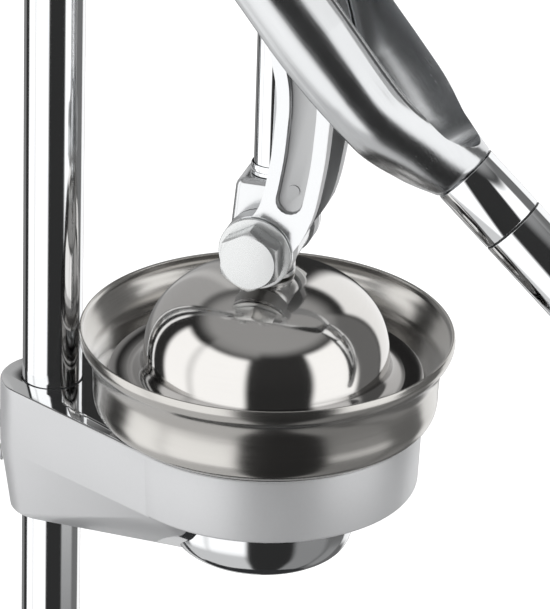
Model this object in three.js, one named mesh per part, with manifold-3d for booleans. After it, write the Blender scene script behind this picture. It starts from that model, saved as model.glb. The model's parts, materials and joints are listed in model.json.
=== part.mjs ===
// A lever citrus juice press: a base with a chromed pole, a bracket that carries the juice bowl,
// and a head on top of the pole that holds the lever and guides the press rod.
// Millimetres, +Z up, the user's side at -Y, the pole behind at +Y.
// The pieces above the base are placed in the bell frame: Z = 0 is the flat top of the bracket's
// ring, and X = Y = 0 is the axis of the ring, the bowl, the bell and the guide rod.

import * as THREE from 'three';
import { mergeVertices } from 'three/addons/utils/BufferGeometryUtils.js';
import { ConvexGeometry } from 'three/addons/geometries/ConvexGeometry.js';
import Module from 'manifold-3d';

const wasm = await Module();
wasm.setup();

// Clearances
const fit = 0.3; // between two pieces that touch or sit in one another
const runningGap = 0.4; // between faces that slide past each other
const overrun = 2; // how far a cutting tool runs past the face it cuts

// Facets round a full circle
const shellFacets = 36;
const plainFacets = 24;
const smallFacets = 16;
const hexSides = 6;

// Pole
const poleRadius = 10;
const poleHoleGap = 0.5; // radial, in the bracket, the head and the base
const poleChamfer = 1;

// Table to the top of the bracket's ring
const ringHeight = 215;

// Base
const baseThickness = 14;
const baseFrontRadius = 78;
const baseRearRadius = 42;
const baseEdgeRound = 3;
const baseBossRadius = 20;
const baseBossTopRadius = 17;
const baseBossRise = 18;
const baseFloor = 9; // left under the pole
const glassRestRadius = 42;
const glassRestDepth = 1.5;

// Feet
const footRadius = 10;
const footHeight = 8;
const footDrop = 5; // how far a foot stands out below the base
const footRound = 1.5;
const footInset = 16; // foot centre in from the base's edge
const footBearing = THREE.MathUtils.degToRad(45); // of a foot, off the cross axis of its end of the base

// Screw under the pole
const baseScrewRadius = 4;
const baseScrewHeadRadius = 6.5;
const baseScrewHeadHeight = 3;
const baseScrewReach = 16; // into the pole
const baseWasherRadius = 7.5;
const baseWasherThickness = 1;
const socketShare = 0.5; // hex socket across flats, of the screw head's diameter
const socketDepthShare = 0.6; // of the screw head's height

// Bracket
const bracketDrop = 48;
const clampTopRadius = 17.5;
const clampFootRadius = 14;
const ringWall = 3.5;
const ringDraft = 0.7; // how much smaller the ring is at its foot
const ringBoreGap = 0.5; // radial, round the bowl's seat
const ringBandHeight = 23;
const ringFloor = 4;
const edgeRound = 1.1;
const drumRadius = 31.6;
const drumTopRadius = 34;
const drumFootRadius = 28;
const drumFilletRise = 6;
const drumEdgeRound = 4;
const drumBoreRadius = 26;
const armFootRadius = 17;
const armFootFront = 16; // centre of the arm foot's front end, behind the bell axis
const armTopFront = 8; // where the arm's top starts inside the ring, behind the bell axis
const armFlankFront = 26; // where the arm's upright flanks leave the ring, behind the bell axis

// Set screws of the bracket and the head
const setScrewRadius = 2.4;
const setScrewHeadRadius = 3.1;
const setScrewHeadRise = 1.6;
const setScrewUpperDrop = 18.7;
const setScrewLowerDrop = 31.1;

// Bowl
const sheet = 1;
const bowlRadius = 57.1;
const bowlFlare = 5; // how far the lip stands out from the wall
const bowlPoleGap = 2.3; // between the lip and the pole
const bowlHeight = 30.1;
const bowlFlareRise = 15.2;
const bowlShoulderRise = 6.5;
const bowlShoulderRun = 6.1; // from the wall in to the shoulder's foot
const bowlSeatStep = 2.6; // from the shoulder's foot in to the seat inside the bracket's ring
const bowlPanDrop = 12;
const funnelRadius = 25.2;
const funnelTopDrop = 17.5;
const funnelFootDrop = 27;
const spoutRadius = 10;
const spoutTopDrop = 43;
const spoutFootDrop = 56;

// Strainer and juicing cone
const strainerGap = 1; // radial, inside the bowl's seat
const strainerDrop = 5; // of its floor, below the ring's top
const slotCount = 18;
const slotInset = 3.4; // from the strainer's wall in to a slot
const slotLength = 10;
const slotWidth = 3;
const strainerHoleRadius = 22;
const coneRadius = 29;
const coneHeight = 38;
const coneFlange = 2.5;
const coneWall = 3;
const conePlugDrop = 4;
const coneRibs = 10;
const coneRibShare = 0.09; // rib height, of the cone's radius there
const coneSteps = 5; // facets on each rib
const coneProfileShares = [
  [1, 0.03], [0.97, 0.12], [0.88, 0.35], [0.75, 0.55], [0.56, 0.75], [0.32, 0.91], [0.13, 0.98],
];

// Bell
const bellWaistRise = 23.5; // height of the widest circle
const bellDomeHeight = 27.2;
const bellSheet = 1.2;
const bellRoom = 3.7; // radial, between the brim and the bowl's wall
const bellBrimWidth = 12.1; // how far the brim stands out from the dome's widest circle
const bellBrimRise = 14.6;
const bellFlare = 5; // radius of the fillet between the dome and the brim
const bellHoleRadius = 4.6;
const domeSteps = 8;

// Knuckle, and the hub bolt that joins it to the links
const hubRise = 64.4;
const knuckleHalfWidth = 9.6;
const knuckleBarrelRadius = 11.6;
const knuckleTopRise = 86;
const knuckleTopHalf = 9.2;
const knuckleTopRound = 3;
const knuckleEdge = 1.6;
const knuckleFootRadius = 8.6;
const bellCollarHeight = 1.4;
const hubBoltRadius = 6;
const hubBoltAcrossFlats = 18.4;
const hubBoltHeadHeight = 7.4;
const hubBoltNutHeight = 9;
const hubWasherRadius = 12.2;
const hubWasherThickness = 1;
const boltEndSpare = 2; // thread past a nut

// Guide rod
const rodRadius = 6;
const rodSocketDepth = 11;
const rodChamfer = 0.8;
const rodCollarRadius = 7.2;
const rodCollarHeight = 3.4;
const rodCollarGroove = 0.6;
const rodStopRadius = 9.2;
const rodStopHeight = 8;
const rodStopRoof = 2.5;

// Screw that holds the bell to the knuckle, from inside
const bellScrewRadius = 4;
const bellScrewHeadRadius = 7;
const bellScrewHeadHeight = 3.6;
const bellWasherRadius = 9;
const bellWasherThickness = 1.4;
const bellScrewReach = 5.4; // into the knuckle

// Links
const linkThickness = 7;
const linkHalfWidth = 8.7;
const linkLowerHubRadius = 12.2;
const linkUpperHubRadius = 10.8;
const linkRecessHalf = 4.5;
const linkRecessDepth = 2;
const linkRecessInset = 19; // from each pin centre
const linkBow = 14.2;
const linkBowShares = [
  [0, 0], [0.13, 0.61], [0.3, 0.87], [0.44, 0.97], [0.54, 1], [0.645, 0.92], [0.82, 0.58], [1, 0],
];
const linkSteps = 22;

// Bush in each link's upper eye
const linkBushRadius = 5.6;
const linkBushBoreRadius = 4.4;

// Lever: pivot, crank pin, loop and handle
const pivotSetback = 44;
const pivotRise = 215.1;
const crankRise = 163; // the links' upper pin, straight above the hub at rest
const sideGap = 1; // between a link and the loop's wall
const loopWall = 5;
const noseLength = 42; // of the opening's pointed end
const neckForward = 63.8;
const neckRise = 94.9;
const tipWall = 3; // left between the opening's tip and the handle
const loopNeckHalf = 10.6; // half heights of the loop's wall, at the neck and at full height
const loopFullHalf = 14.2;
const loopHeightShares = [[0, 0], [0.1, 0.05], [0.2, 0.26], [0.3, 0.66], [0.38, 0.93], [0.5, 1], [1, 1]];
const loopSag = 4.1; // how far the middle line hangs below its chord
const loopSagShares = [
  [-0.04, -0.14], [0, 0], [0.1, 0.42], [0.19, 0.72], [0.38, 0.95], [0.58, 0.5], [0.8, 0.14], [1, 0],
];
const loopNoseShares = [[0, 0], [0.12, 0.22], [0.28, 0.47], [0.48, 0.7], [0.72, 0.9], [1, 1]];
const loopNeckSwellShares = [[0, 0], [0.1, 0.08], [0.25, 0.25], [0.45, 0.49], [0.7, 0.78], [1, 1]];
const loopSteps = 26;
const loopCrown = 2.8; // how much narrower the loop is at its rims
const crownSteps = 8;
const noseSteps = 12;
const handleSlope = THREE.MathUtils.degToRad(43.5);
const handleRadius = 11;
const ferruleLength = 21.6;
const seamLength = 1;
const seamInset = 0.4;
const handleTubeLength = 138;
const handleWall = 2.6;
const spigotLength = 52;
const endCapDome = 4;
const endCapPlug = 12;
const capSteps = 5;

// Pivot bolt, and the two crank bolts
const pivotBoltRadius = 5;
const pivotAcrossFlats = 16;
const pivotHeadHeight = 6;
const pivotNutHeight = 8;
const pivotWasherRadius = 10;
const pivotWasherThickness = 1.6;
const crankBoltRadius = 4;
const crankHeadRadius = 7.6;
const crankHeadHeight = 3.6;

// Head on the pole
const headBarrelRadius = 17.5;
const headBarrelFoot = 190;
const headBarrelTop = 238;
const headBossRadius = 12.5;
const headWebHalf = 8;
const headWebFoot = 196;
const headWebTop = 224;
const guideFoot = 183.5;
const guideTop = 227;
const guideHalf = 9.3;
const headBossHalf = 17.7;
const guideDepth = 11.5;
const guideBushRadius = 7.4;
const guideBushLength = 16;
const guideFlangeRadius = 9;
const guideFlangeThickness = 2;
const capRise = 5;
const capPlug = 6;

// Radii that follow from the bowl's, outwards to the pole and inwards to the bell
const bowlLipRadius = bowlRadius + bowlFlare;
const poleSetback = bowlLipRadius + bowlPoleGap + poleRadius; // bell axis to pole axis
const bowlShoulderRadius = bowlRadius - bowlShoulderRun;
const bowlSeatRadius = bowlShoulderRadius - bowlSeatStep;
const ringBoreRadius = bowlSeatRadius + ringBoreGap;
const ringRadius = ringBoreRadius + ringWall;
const ringFootRadius = ringRadius - ringDraft;
const strainerRadius = bowlSeatRadius - sheet - strainerGap;
const slotOuter = strainerRadius - slotInset;
const slotInner = slotOuter - slotLength;
const bellBrimRadius = bowlRadius - sheet - bellRoom;
const bellRadius = bellBrimRadius - bellBrimWidth;

// Shapes

function weld(geometry) {
  const bare = geometry.clone();
  bare.deleteAttribute('normal');
  bare.deleteAttribute('uv');
  return mergeVertices(bare);
}

// A closed mesh as a solid, without the triangles that have no area on a turning axis.
function solidOf(geometry) {
  const welded = weld(geometry);
  const index = welded.index.array;
  const corners = [];
  for (let i = 0; i < index.length; i += 3) {
    const [a, b, c] = index.subarray(i, i + 3);
    if (a !== b && b !== c && c !== a) corners.push(a, b, c);
  }
  const mesh = new wasm.Mesh({
    numProp: 3,
    vertProperties: Float32Array.from(welded.attributes.position.array),
    triVerts: Uint32Array.from(corners),
  });
  return new wasm.Manifold(mesh);
}

function geometryOf(solid) {
  const mesh = solid.getMesh();
  const geometry = new THREE.BufferGeometry();
  geometry.setAttribute('position', new THREE.BufferAttribute(mesh.vertProperties, 3));
  geometry.setIndex(new THREE.BufferAttribute(mesh.triVerts, 1));
  geometry.computeVertexNormals();
  return geometry;
}

function join(first, ...others) {
  return geometryOf(others.reduce((whole, other) => whole.add(solidOf(other)), solidOf(first)));
}

function cut(first, ...tools) {
  return geometryOf(tools.reduce((whole, tool) => whole.subtract(solidOf(tool)), solidOf(first)));
}

function common(first, ...others) {
  return geometryOf(others.reduce((whole, other) => whole.intersect(solidOf(other)), solidOf(first)));
}

function circle(radius, facets = plainFacets, x = 0, y = 0) {
  const points = [];
  for (let i = 0; i < facets; i += 1) {
    const angle = (2 * Math.PI * i) / facets;
    points.push([x + radius * Math.cos(angle), y + radius * Math.sin(angle)]);
  }
  return points;
}

// A body turned about Z from a profile of [radius, height] points, listed upwards on the outside.
function turned(profile, facets = plainFacets) {
  const points = profile.map(([radius, height]) => new THREE.Vector2(radius, height));
  return geometryOf(solidOf(new THREE.LatheGeometry(points, facets).rotateX(Math.PI / 2)));
}

function turnedRing(profile, facets = plainFacets) {
  return turned([...profile, profile[0]], facets);
}

function rod(radius, foot, top, facets = plainFacets) {
  return turned([[0, foot], [radius, foot], [radius, top], [0, top]], facets);
}

function chamferedRod(radius, foot, top, chamfer, facets = plainFacets) {
  const profile = [
    [0, foot],
    [radius - chamfer, foot],
    [radius, foot + chamfer],
    [radius, top - chamfer],
    [radius - chamfer, top],
    [0, top],
  ];
  return turned(profile, facets);
}

function tube(outer, inner, foot, top, facets = plainFacets) {
  return turnedRing([[inner, foot], [outer, foot], [outer, top], [inner, top]], facets);
}

// A thin sheet turned about Z, from the path of its outer face, listed upwards.
function turnedSheet(path, thickness, facets = shellFacets) {
  const inner = path.map((point, i) => {
    const before = path[Math.max(i - 1, 0)];
    const after = path[Math.min(i + 1, path.length - 1)];
    const arrive = new THREE.Vector2(point[0] - before[0], point[1] - before[1]);
    const leave = new THREE.Vector2(after[0] - point[0], after[1] - point[1]);
    if (i === 0) arrive.copy(leave);
    if (i === path.length - 1) leave.copy(arrive);
    const along = arrive.normalize().add(leave.normalize());
    const miter = along.length() / 2;
    along.normalize();
    return [point[0] - (along.y * thickness) / miter, point[1] + (along.x * thickness) / miter];
  });
  return turnedRing([...path, ...inner.reverse()], facets);
}

function extruded(points, foot, top) {
  const shape = new THREE.Shape(points.map(([x, y]) => new THREE.Vector2(x, y)));
  const geometry = new THREE.ExtrudeGeometry(shape, { depth: top - foot, bevelEnabled: false });
  return geometry.translate(0, 0, foot);
}

// The smallest convex body round some flat outlines, each given with its height.
function hullOf(...layers) {
  const points = layers.flatMap(([outline, height]) => {
    return outline.map(([x, y]) => new THREE.Vector3(x, y, height));
  });
  return new ConvexGeometry(points);
}

// Turn a body so that its X, Y, Z become Y, Z, X: a side profile is drawn in Y and Z.
function acrossX(geometry) {
  const basis = new THREE.Matrix4().makeBasis(
    new THREE.Vector3(0, 1, 0),
    new THREE.Vector3(0, 0, 1),
    new THREE.Vector3(1, 0, 0),
  );
  return geometry.applyMatrix4(basis);
}

function backward(geometry) {
  return geometry.rotateX(-Math.PI / 2);
}

function curveThrough(points, steps) {
  const curve = new THREE.SplineCurve(points.map(([x, y]) => new THREE.Vector2(x, y)));
  return curve.getPoints(steps);
}

// The outline of a band of some half width along a row of points.
function bandOutline(points, halfWidthAt) {
  const left = [];
  const right = [];
  points.forEach((point, i) => {
    const before = points[Math.max(i - 1, 0)];
    const after = points[Math.min(i + 1, points.length - 1)];
    const along = after.clone().sub(before).normalize();
    const half = halfWidthAt(i / (points.length - 1));
    left.push([point.x - along.y * half, point.y + along.x * half]);
    right.push([point.x + along.y * half, point.y - along.x * half]);
  });
  return [...right, ...left.reverse()];
}

function between(shares, t) {
  const next = Math.max(1, shares.findIndex(([at]) => at >= t));
  const [from, low] = shares[next - 1];
  const [to, high] = shares[next];
  return low + ((high - low) * (t - from)) / (to - from);
}

// Materials

function metal(color, roughness) {
  return new THREE.MeshStandardMaterial({ color, roughness, metalness: 1 });
}

function chrome() {
  return metal(0xd4d6d8, 0.08);
}

function castAluminium() {
  return metal(0xc9cbcc, 0.32);
}

function brushedSteel() {
  return metal(0x9a9590, 0.28);
}

function polishedSteel() {
  return metal(0xb9b7b4, 0.1);
}

function zincSteel() {
  return metal(0xcfd0d0, 0.3);
}

function darkCast() {
  return new THREE.MeshStandardMaterial({ color: 0x2b2d2f, roughness: 0.55, metalness: 0.4 });
}

function blackPlastic() {
  return new THREE.MeshStandardMaterial({ color: 0x141414, roughness: 0.45, metalness: 0 });
}

function blackRubber() {
  return new THREE.MeshStandardMaterial({ color: 0x1b1b1b, roughness: 0.9, metalness: 0 });
}

function brassBush() {
  return metal(0xb08d4a, 0.35);
}

function piece(parent, name, geometry, material, place = [0, 0, 0], turn = [0, 0, 0]) {
  const mesh = new THREE.Mesh(geometry, material);
  mesh.name = name;
  mesh.position.set(...place);
  mesh.rotation.set(...turn);
  parent.add(mesh);
  return mesh;
}

// Fasteners, each with its head above Z = 0 and its shank below

function hexPrism(acrossFlats, foot, top) {
  return extruded(circle(acrossFlats / Math.sqrt(3), hexSides), foot, top);
}

function hexBlock(acrossFlats, height) {
  const flatRadius = acrossFlats / 2;
  const cornerRadius = acrossFlats / Math.sqrt(3);
  const chamfer = cornerRadius - flatRadius;
  const profile = [
    [0, 0],
    [cornerRadius, 0],
    [cornerRadius, height - chamfer],
    [flatRadius, height],
    [0, height],
  ];
  return common(hexPrism(acrossFlats, 0, height), turned(profile));
}

function hexBolt(acrossFlats, headHeight, shankRadius, length) {
  return join(hexBlock(acrossFlats, headHeight), rod(shankRadius, -length, headHeight / 2, smallFacets));
}

function hexNut(acrossFlats, height, boreRadius) {
  return cut(hexBlock(acrossFlats, height), rod(boreRadius, -overrun, height + overrun, smallFacets));
}

function washer(outer, inner, thickness) {
  return tube(outer, inner, 0, thickness);
}

// A socket screw with a low domed head.
function socketScrew(shankRadius, length, headRadius, headHeight) {
  const shoulder = headHeight / 3;
  const profile = [
    [0, -length],
    [shankRadius, -length],
    [shankRadius, 0],
    [headRadius, 0],
    [headRadius, shoulder],
    [headRadius - shoulder, headHeight - shoulder / 2],
    [headRadius / 2, headHeight],
    [0, headHeight],
  ];
  const acrossFlats = 2 * headRadius * socketShare;
  const socketFloor = headHeight * (1 - socketDepthShare);
  const socket = hexPrism(acrossFlats, socketFloor, headHeight + overrun);
  return cut(turned(profile, smallFacets), socket);
}

// Base and pole

const baseFootZ = footDrop;
const baseTopZ = baseFootZ + baseThickness;
const bossTopZ = baseTopZ + baseBossRise;
const screwSeatZ = baseFootZ + baseScrewHeadHeight + baseWasherThickness + 2 * fit;
const poleFootZ = baseFootZ + baseFloor + fit;
const poleTopZ = ringHeight + headBarrelTop - capPlug;

function baseOutline(inset) {
  const front = circle(baseFrontRadius - inset, shellFacets);
  const rear = circle(baseRearRadius - inset, shellFacets, 0, poleSetback);
  return [...front, ...rear];
}

function footPlaces() {
  const frontReach = baseFrontRadius - footInset;
  const rearReach = baseRearRadius - footInset;
  const across = Math.cos(footBearing);
  const along = Math.sin(footBearing);
  return [
    ['foot_front_left', -frontReach * across, -frontReach * along],
    ['foot_front_right', frontReach * across, -frontReach * along],
    ['foot_rear_left', -rearReach * across, poleSetback + rearReach * along],
    ['foot_rear_right', rearReach * across, poleSetback + rearReach * along],
  ];
}

function basePlate() {
  const slab = hullOf(
    [baseOutline(baseEdgeRound / 3), baseFootZ],
    [baseOutline(0), baseFootZ + baseEdgeRound / 3],
    [baseOutline(0), baseTopZ - baseEdgeRound],
    [baseOutline(baseEdgeRound / 3), baseTopZ - baseEdgeRound / 3],
    [baseOutline(baseEdgeRound), baseTopZ],
  );
  const boss = turned([
    [0, baseTopZ - overrun],
    [baseBossRadius, baseTopZ - overrun],
    [baseBossRadius, baseTopZ],
    [baseBossTopRadius, bossTopZ - edgeRound],
    [baseBossTopRadius - edgeRound, bossTopZ],
    [0, bossTopZ],
  ]).translate(0, poleSetback, 0);
  const poleHole = rod(poleRadius + poleHoleGap, baseFootZ + baseFloor, bossTopZ + overrun);
  const screwHole = rod(baseScrewRadius + poleHoleGap, baseFootZ - overrun, bossTopZ, smallFacets);
  const counterbore = rod(baseWasherRadius + poleHoleGap, baseFootZ - overrun, screwSeatZ, smallFacets);
  const tools = [poleHole, screwHole, counterbore].map((tool) => tool.translate(0, poleSetback, 0));
  const feet = footPlaces().map(([, x, y]) => {
    const recess = rod(footRadius + fit, baseFootZ - overrun, footHeight + fit, smallFacets);
    return recess.translate(x, y, 0);
  });
  const glassRest = rod(glassRestRadius, baseTopZ - glassRestDepth, baseTopZ + overrun, shellFacets);
  return cut(join(slab, boss), ...tools, ...feet, glassRest);
}

function foot() {
  return turned([
    [0, 0],
    [footRadius - footRound, 0],
    [footRadius, footRound],
    [footRadius, footHeight],
    [0, footHeight],
  ], smallFacets);
}

function pole() {
  const bar = chamferedRod(poleRadius, poleFootZ, poleTopZ, poleChamfer);
  const screwDepth = poleFootZ + baseScrewReach + fit;
  return cut(bar, rod(baseScrewRadius + fit, poleFootZ - overrun, screwDepth, smallFacets));
}

function addBase(model) {
  piece(model, 'base_plate', basePlate(), darkCast());
  for (const [name, x, y] of footPlaces()) piece(model, name, foot(), blackRubber(), [x, y, 0]);
  piece(model, 'pole', pole(), chrome(), [0, poleSetback, 0]);
  const headSeat = screwSeatZ - fit - baseWasherThickness - fit;
  const length = poleFootZ + baseScrewReach - headSeat;
  const screw = socketScrew(baseScrewRadius, length, baseScrewHeadRadius, baseScrewHeadHeight);
  piece(model, 'pole_screw', screw, zincSteel(), [0, poleSetback, headSeat], [Math.PI, 0, 0]);
  const screwWasher = washer(baseWasherRadius, baseScrewRadius + fit, baseWasherThickness);
  piece(model, 'pole_screw_washer', screwWasher, zincSteel(), [0, poleSetback, headSeat + fit]);
}

// Bracket

// The clamp is upright beside the ring's band and narrows below it.
function clampRadiusAt(z) {
  const below = Math.max(0, -z - ringBandHeight) / (bracketDrop - ringBandHeight);
  return clampTopRadius - (clampTopRadius - clampFootRadius) * below;
}

function bracketArm() {
  const topRing = circle(ringRadius - edgeRound, shellFacets).filter(([, y]) => y >= armTopFront);
  const topClamp = circle(clampTopRadius - edgeRound / 2, plainFacets, 0, poleSetback);
  const fullRing = circle(ringRadius, shellFacets).filter(([, y]) => y >= armTopFront);
  const fullClamp = circle(clampTopRadius, plainFacets, 0, poleSetback);
  const lowRing = circle(ringFootRadius, shellFacets).filter(([, y]) => y >= armFlankFront);
  const footClamp = circle(clampFootRadius, plainFacets, 0, poleSetback);
  const footFront = circle(armFootRadius, plainFacets, 0, armFootFront);
  const inset = edgeRound;
  const lastClamp = circle(clampFootRadius - inset, plainFacets, 0, poleSetback);
  const lastFront = circle(armFootRadius - inset, plainFacets, 0, armFootFront);
  return hullOf(
    [[...topRing, ...topClamp], 0],
    [[...fullRing, ...fullClamp], -edgeRound / 2],
    [[...lowRing, ...fullClamp], -ringBandHeight],
    [[...footClamp, ...footFront], -bracketDrop + inset],
    [[...lastClamp, ...lastFront], -bracketDrop],
  );
}

function ringAndDrum() {
  const underside = -ringBandHeight;
  const drumFoot = -bracketDrop - fit;
  return turned([
    [0, drumFoot],
    [drumFootRadius, drumFoot],
    [drumRadius - edgeRound, drumFoot + drumEdgeRound / 2],
    [drumRadius - edgeRound / 3, drumFoot + drumEdgeRound],
    [drumRadius, underside - drumFilletRise],
    [(drumRadius + drumTopRadius) / 2, underside - drumFilletRise / 3],
    [drumTopRadius + edgeRound, underside],
    [ringFootRadius - edgeRound, underside],
    [ringFootRadius, underside + edgeRound],
    [ringRadius, -edgeRound],
    [ringRadius - edgeRound / 3, -edgeRound / 3],
    [ringRadius - edgeRound, 0],
    [0, 0],
  ], shellFacets);
}

function ringBore() {
  return turned([
    [0, -bracketDrop - overrun],
    [drumBoreRadius, -bracketDrop - overrun],
    [drumBoreRadius, ringFloor - ringBandHeight],
    [ringBoreRadius, ringFloor - ringBandHeight],
    [ringBoreRadius, overrun],
    [0, overrun],
  ], shellFacets);
}

function setScrewHole(z) {
  const hole = backward(rod(setScrewRadius + fit, 0, clampTopRadius + overrun, smallFacets));
  return hole.translate(0, poleSetback, z);
}

function bracket() {
  const poleHole = rod(poleRadius + poleHoleGap, -bracketDrop - overrun, overrun);
  poleHole.translate(0, poleSetback, 0);
  const holes = [-setScrewUpperDrop, -setScrewLowerDrop].map(setScrewHole);
  return cut(join(bracketArm(), ringAndDrum()), ringBore(), poleHole, ...holes);
}

// A set screw whose head stands out behind a wall at some radius from the pole's axis.
function addSetScrew(parent, name, wallRadius, z) {
  const head = wallRadius + fit;
  const length = head - poleRadius - fit;
  const screw = socketScrew(setScrewRadius, length, setScrewHeadRadius, setScrewHeadRise);
  piece(parent, name, screw, zincSteel(), [0, poleSetback + head, z], [-Math.PI / 2, 0, 0]);
}

function addBracket(stand) {
  piece(stand, 'bracket', bracket(), castAluminium());
  const upper = -setScrewUpperDrop;
  const lower = -setScrewLowerDrop;
  addSetScrew(stand, 'bracket_set_screw_upper', clampRadiusAt(upper + setScrewHeadRadius), upper);
  addSetScrew(stand, 'bracket_set_screw_lower', clampRadiusAt(lower + setScrewHeadRadius), lower);
}

// Bowl, strainer and juicing cone

function bowl() {
  const seat = fit;
  const lipRise = bowlHeight - bowlFlareRise;
  return turnedSheet([
    [spoutRadius, -spoutFootDrop],
    [spoutRadius, -spoutTopDrop],
    [funnelRadius, -funnelFootDrop],
    [funnelRadius, -funnelTopDrop],
    [bowlSeatRadius - edgeRound, -bowlPanDrop - edgeRound],
    [bowlSeatRadius, -bowlPanDrop + edgeRound],
    [bowlSeatRadius, seat],
    [bowlShoulderRadius, seat],
    [(bowlShoulderRadius + bowlRadius) / 2 + edgeRound, bowlShoulderRise / 3],
    [bowlRadius, bowlShoulderRise],
    [bowlRadius, bowlFlareRise],
    [bowlRadius + bowlFlare / 4, bowlFlareRise + lipRise / 4],
    [bowlRadius + (3 * bowlFlare) / 4, bowlFlareRise + lipRise / 2],
    [bowlLipRadius, bowlHeight - lipRise / 4],
    [bowlLipRadius - sheet / 3, bowlHeight],
  ], sheet);
}

function strainer() {
  const flangeZ = 2 * fit + sheet;
  const flangeRadius = bowlShoulderRadius - 2 * fit;
  const dish = turnedSheet([
    [strainerHoleRadius, -strainerDrop],
    [strainerRadius - edgeRound, -strainerDrop],
    [strainerRadius, -strainerDrop + edgeRound],
    [strainerRadius, flangeZ],
    [flangeRadius, flangeZ],
  ], sheet);
  const slots = [];
  for (let i = 0; i < slotCount; i += 1) {
    const slot = new THREE.BoxGeometry(slotOuter - slotInner, slotWidth, sheet + 2 * overrun);
    slot.translate((slotInner + slotOuter) / 2, 0, -strainerDrop);
    slots.push(slot.rotateZ((2 * Math.PI * i) / slotCount));
  }
  return cut(dish, ...slots);
}

// The cone's ribs swell and sink round its axis, and fade out towards the tip.
function juicingCone() {
  const seat = -strainerDrop + sheet + fit;
  const rise = coneHeight - coneFlange;
  const foot = seat + coneFlange;
  const outer = coneProfileShares.map(([r, z]) => [coneRadius * r, foot + rise * z]);
  const profile = [[0, foot], [coneRadius, foot], ...outer, [0, foot + rise]];
  const points = profile.map(([radius, height]) => new THREE.Vector2(radius, height));
  const ribbed = new THREE.LatheGeometry(points, coneRibs * coneSteps).rotateX(Math.PI / 2);
  const position = ribbed.attributes.position;
  for (let i = 0; i < position.count; i += 1) {
    const x = position.getX(i);
    const y = position.getY(i);
    const wave = (1 - Math.cos(coneRibs * Math.atan2(y, x))) / 2;
    const shrink = 1 - coneRibShare * wave * 2;
    position.setX(i, x * shrink);
    position.setY(i, y * shrink);
  }
  const plugRadius = strainerHoleRadius - fit;
  const flange = rod(coneRadius, seat, foot + fit, coneRibs * coneSteps);
  const plug = rod(plugRadius, seat - sheet - conePlugDrop, seat + coneFlange);
  const hollow = turned([
    [0, seat - sheet - conePlugDrop - overrun],
    [plugRadius - coneWall, seat - sheet - conePlugDrop - overrun],
    [plugRadius - coneWall, foot],
    [plugRadius - 2 * coneWall, foot + rise / 2],
    [0, foot + rise - 3 * coneWall],
  ]);
  return cut(join(ribbed, flange, plug), hollow);
}

function addBowl(stand) {
  piece(stand, 'bowl', bowl(), brushedSteel());
  piece(stand, 'strainer', strainer(), brushedSteel());
  piece(stand, 'juicing_cone', juicingCone(), castAluminium());
}

// Bell and press rod: everything that slides up with the knuckle

const collarFootZ = bellWaistRise + bellDomeHeight + fit;
const knuckleFootZ = collarFootZ + bellCollarHeight + fit;
const rodFootZ = knuckleTopRise - rodSocketDepth + fit;
const rodStopFootZ = guideTop + fit + guideFlangeThickness + fit;
const rodTopZ = rodStopFootZ + rodStopHeight - rodStopRoof - fit;

function bell() {
  const dome = [];
  const start = Math.asin(-bellFlare / (2 * bellDomeHeight));
  const end = Math.acos(bellHoleRadius / bellRadius);
  for (let i = 0; i <= domeSteps; i += 1) {
    const angle = start + ((end - start) * i) / domeSteps;
    dome.push([bellRadius * Math.cos(angle), bellWaistRise + bellDomeHeight * Math.sin(angle)]);
  }
  const [waist, waistZ] = dome[0];
  const drop = waistZ - bellBrimRise;
  return turnedSheet([
    [bellBrimRadius, bellBrimRise],
    [waist + bellFlare, bellBrimRise + drop / 12],
    [waist + bellFlare / 2, bellBrimRise + drop / 5],
    [waist + bellFlare / 8, bellBrimRise + drop / 2],
    ...dome,
  ], bellSheet, shellFacets);
}

function bellCollar() {
  return tube(knuckleFootRadius, bellScrewRadius + fit, 0, bellCollarHeight);
}

function knuckleOutline(inset) {
  const barrel = circle(knuckleBarrelRadius - inset, plainFacets, 0, hubRise);
  const cornerY = knuckleTopHalf - knuckleTopRound;
  const cornerZ = knuckleTopRise - knuckleTopRound;
  const corner = knuckleTopRound - inset;
  const front = circle(corner, smallFacets, -cornerY, cornerZ);
  const rear = circle(corner, smallFacets, cornerY, cornerZ);
  return [...barrel, ...front, ...rear];
}

function knuckle() {
  const block = acrossX(hullOf(
    [knuckleOutline(knuckleEdge), -knuckleHalfWidth],
    [knuckleOutline(knuckleEdge / 3), knuckleEdge / 3 - knuckleHalfWidth],
    [knuckleOutline(0), knuckleEdge - knuckleHalfWidth],
    [knuckleOutline(0), knuckleHalfWidth - knuckleEdge],
    [knuckleOutline(knuckleEdge / 3), knuckleHalfWidth - knuckleEdge / 3],
    [knuckleOutline(knuckleEdge), knuckleHalfWidth],
  ));
  const foot = rod(knuckleFootRadius, knuckleFootZ, hubRise);
  const boltBore = acrossX(rod(hubBoltRadius + fit, -knuckleHalfWidth - overrun, knuckleHalfWidth + overrun));
  boltBore.translate(0, 0, hubRise);
  const rodSocket = rod(rodRadius + fit, knuckleTopRise - rodSocketDepth, knuckleTopRise + overrun);
  const screwTop = knuckleFootZ + bellScrewReach + fit;
  const screwHole = rod(bellScrewRadius + fit, knuckleFootZ - overrun, screwTop, smallFacets);
  return cut(join(block, foot), boltBore, rodSocket, screwHole);
}

function rodCollar() {
  const inner = rodRadius + fit;
  const middle = rodCollarHeight / 2;
  const half = rodCollarGroove / 2;
  return turnedRing([
    [inner, 0],
    [rodCollarRadius, 0],
    [rodCollarRadius, middle - half],
    [rodCollarRadius - half, middle],
    [rodCollarRadius, middle + half],
    [rodCollarRadius, rodCollarHeight],
    [inner, rodCollarHeight],
  ]);
}

function rodStop() {
  const cap = chamferedRod(rodStopRadius, 0, rodStopHeight, rodChamfer);
  return cut(cap, rod(rodRadius + fit, -overrun, rodStopHeight - rodStopRoof));
}

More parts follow.
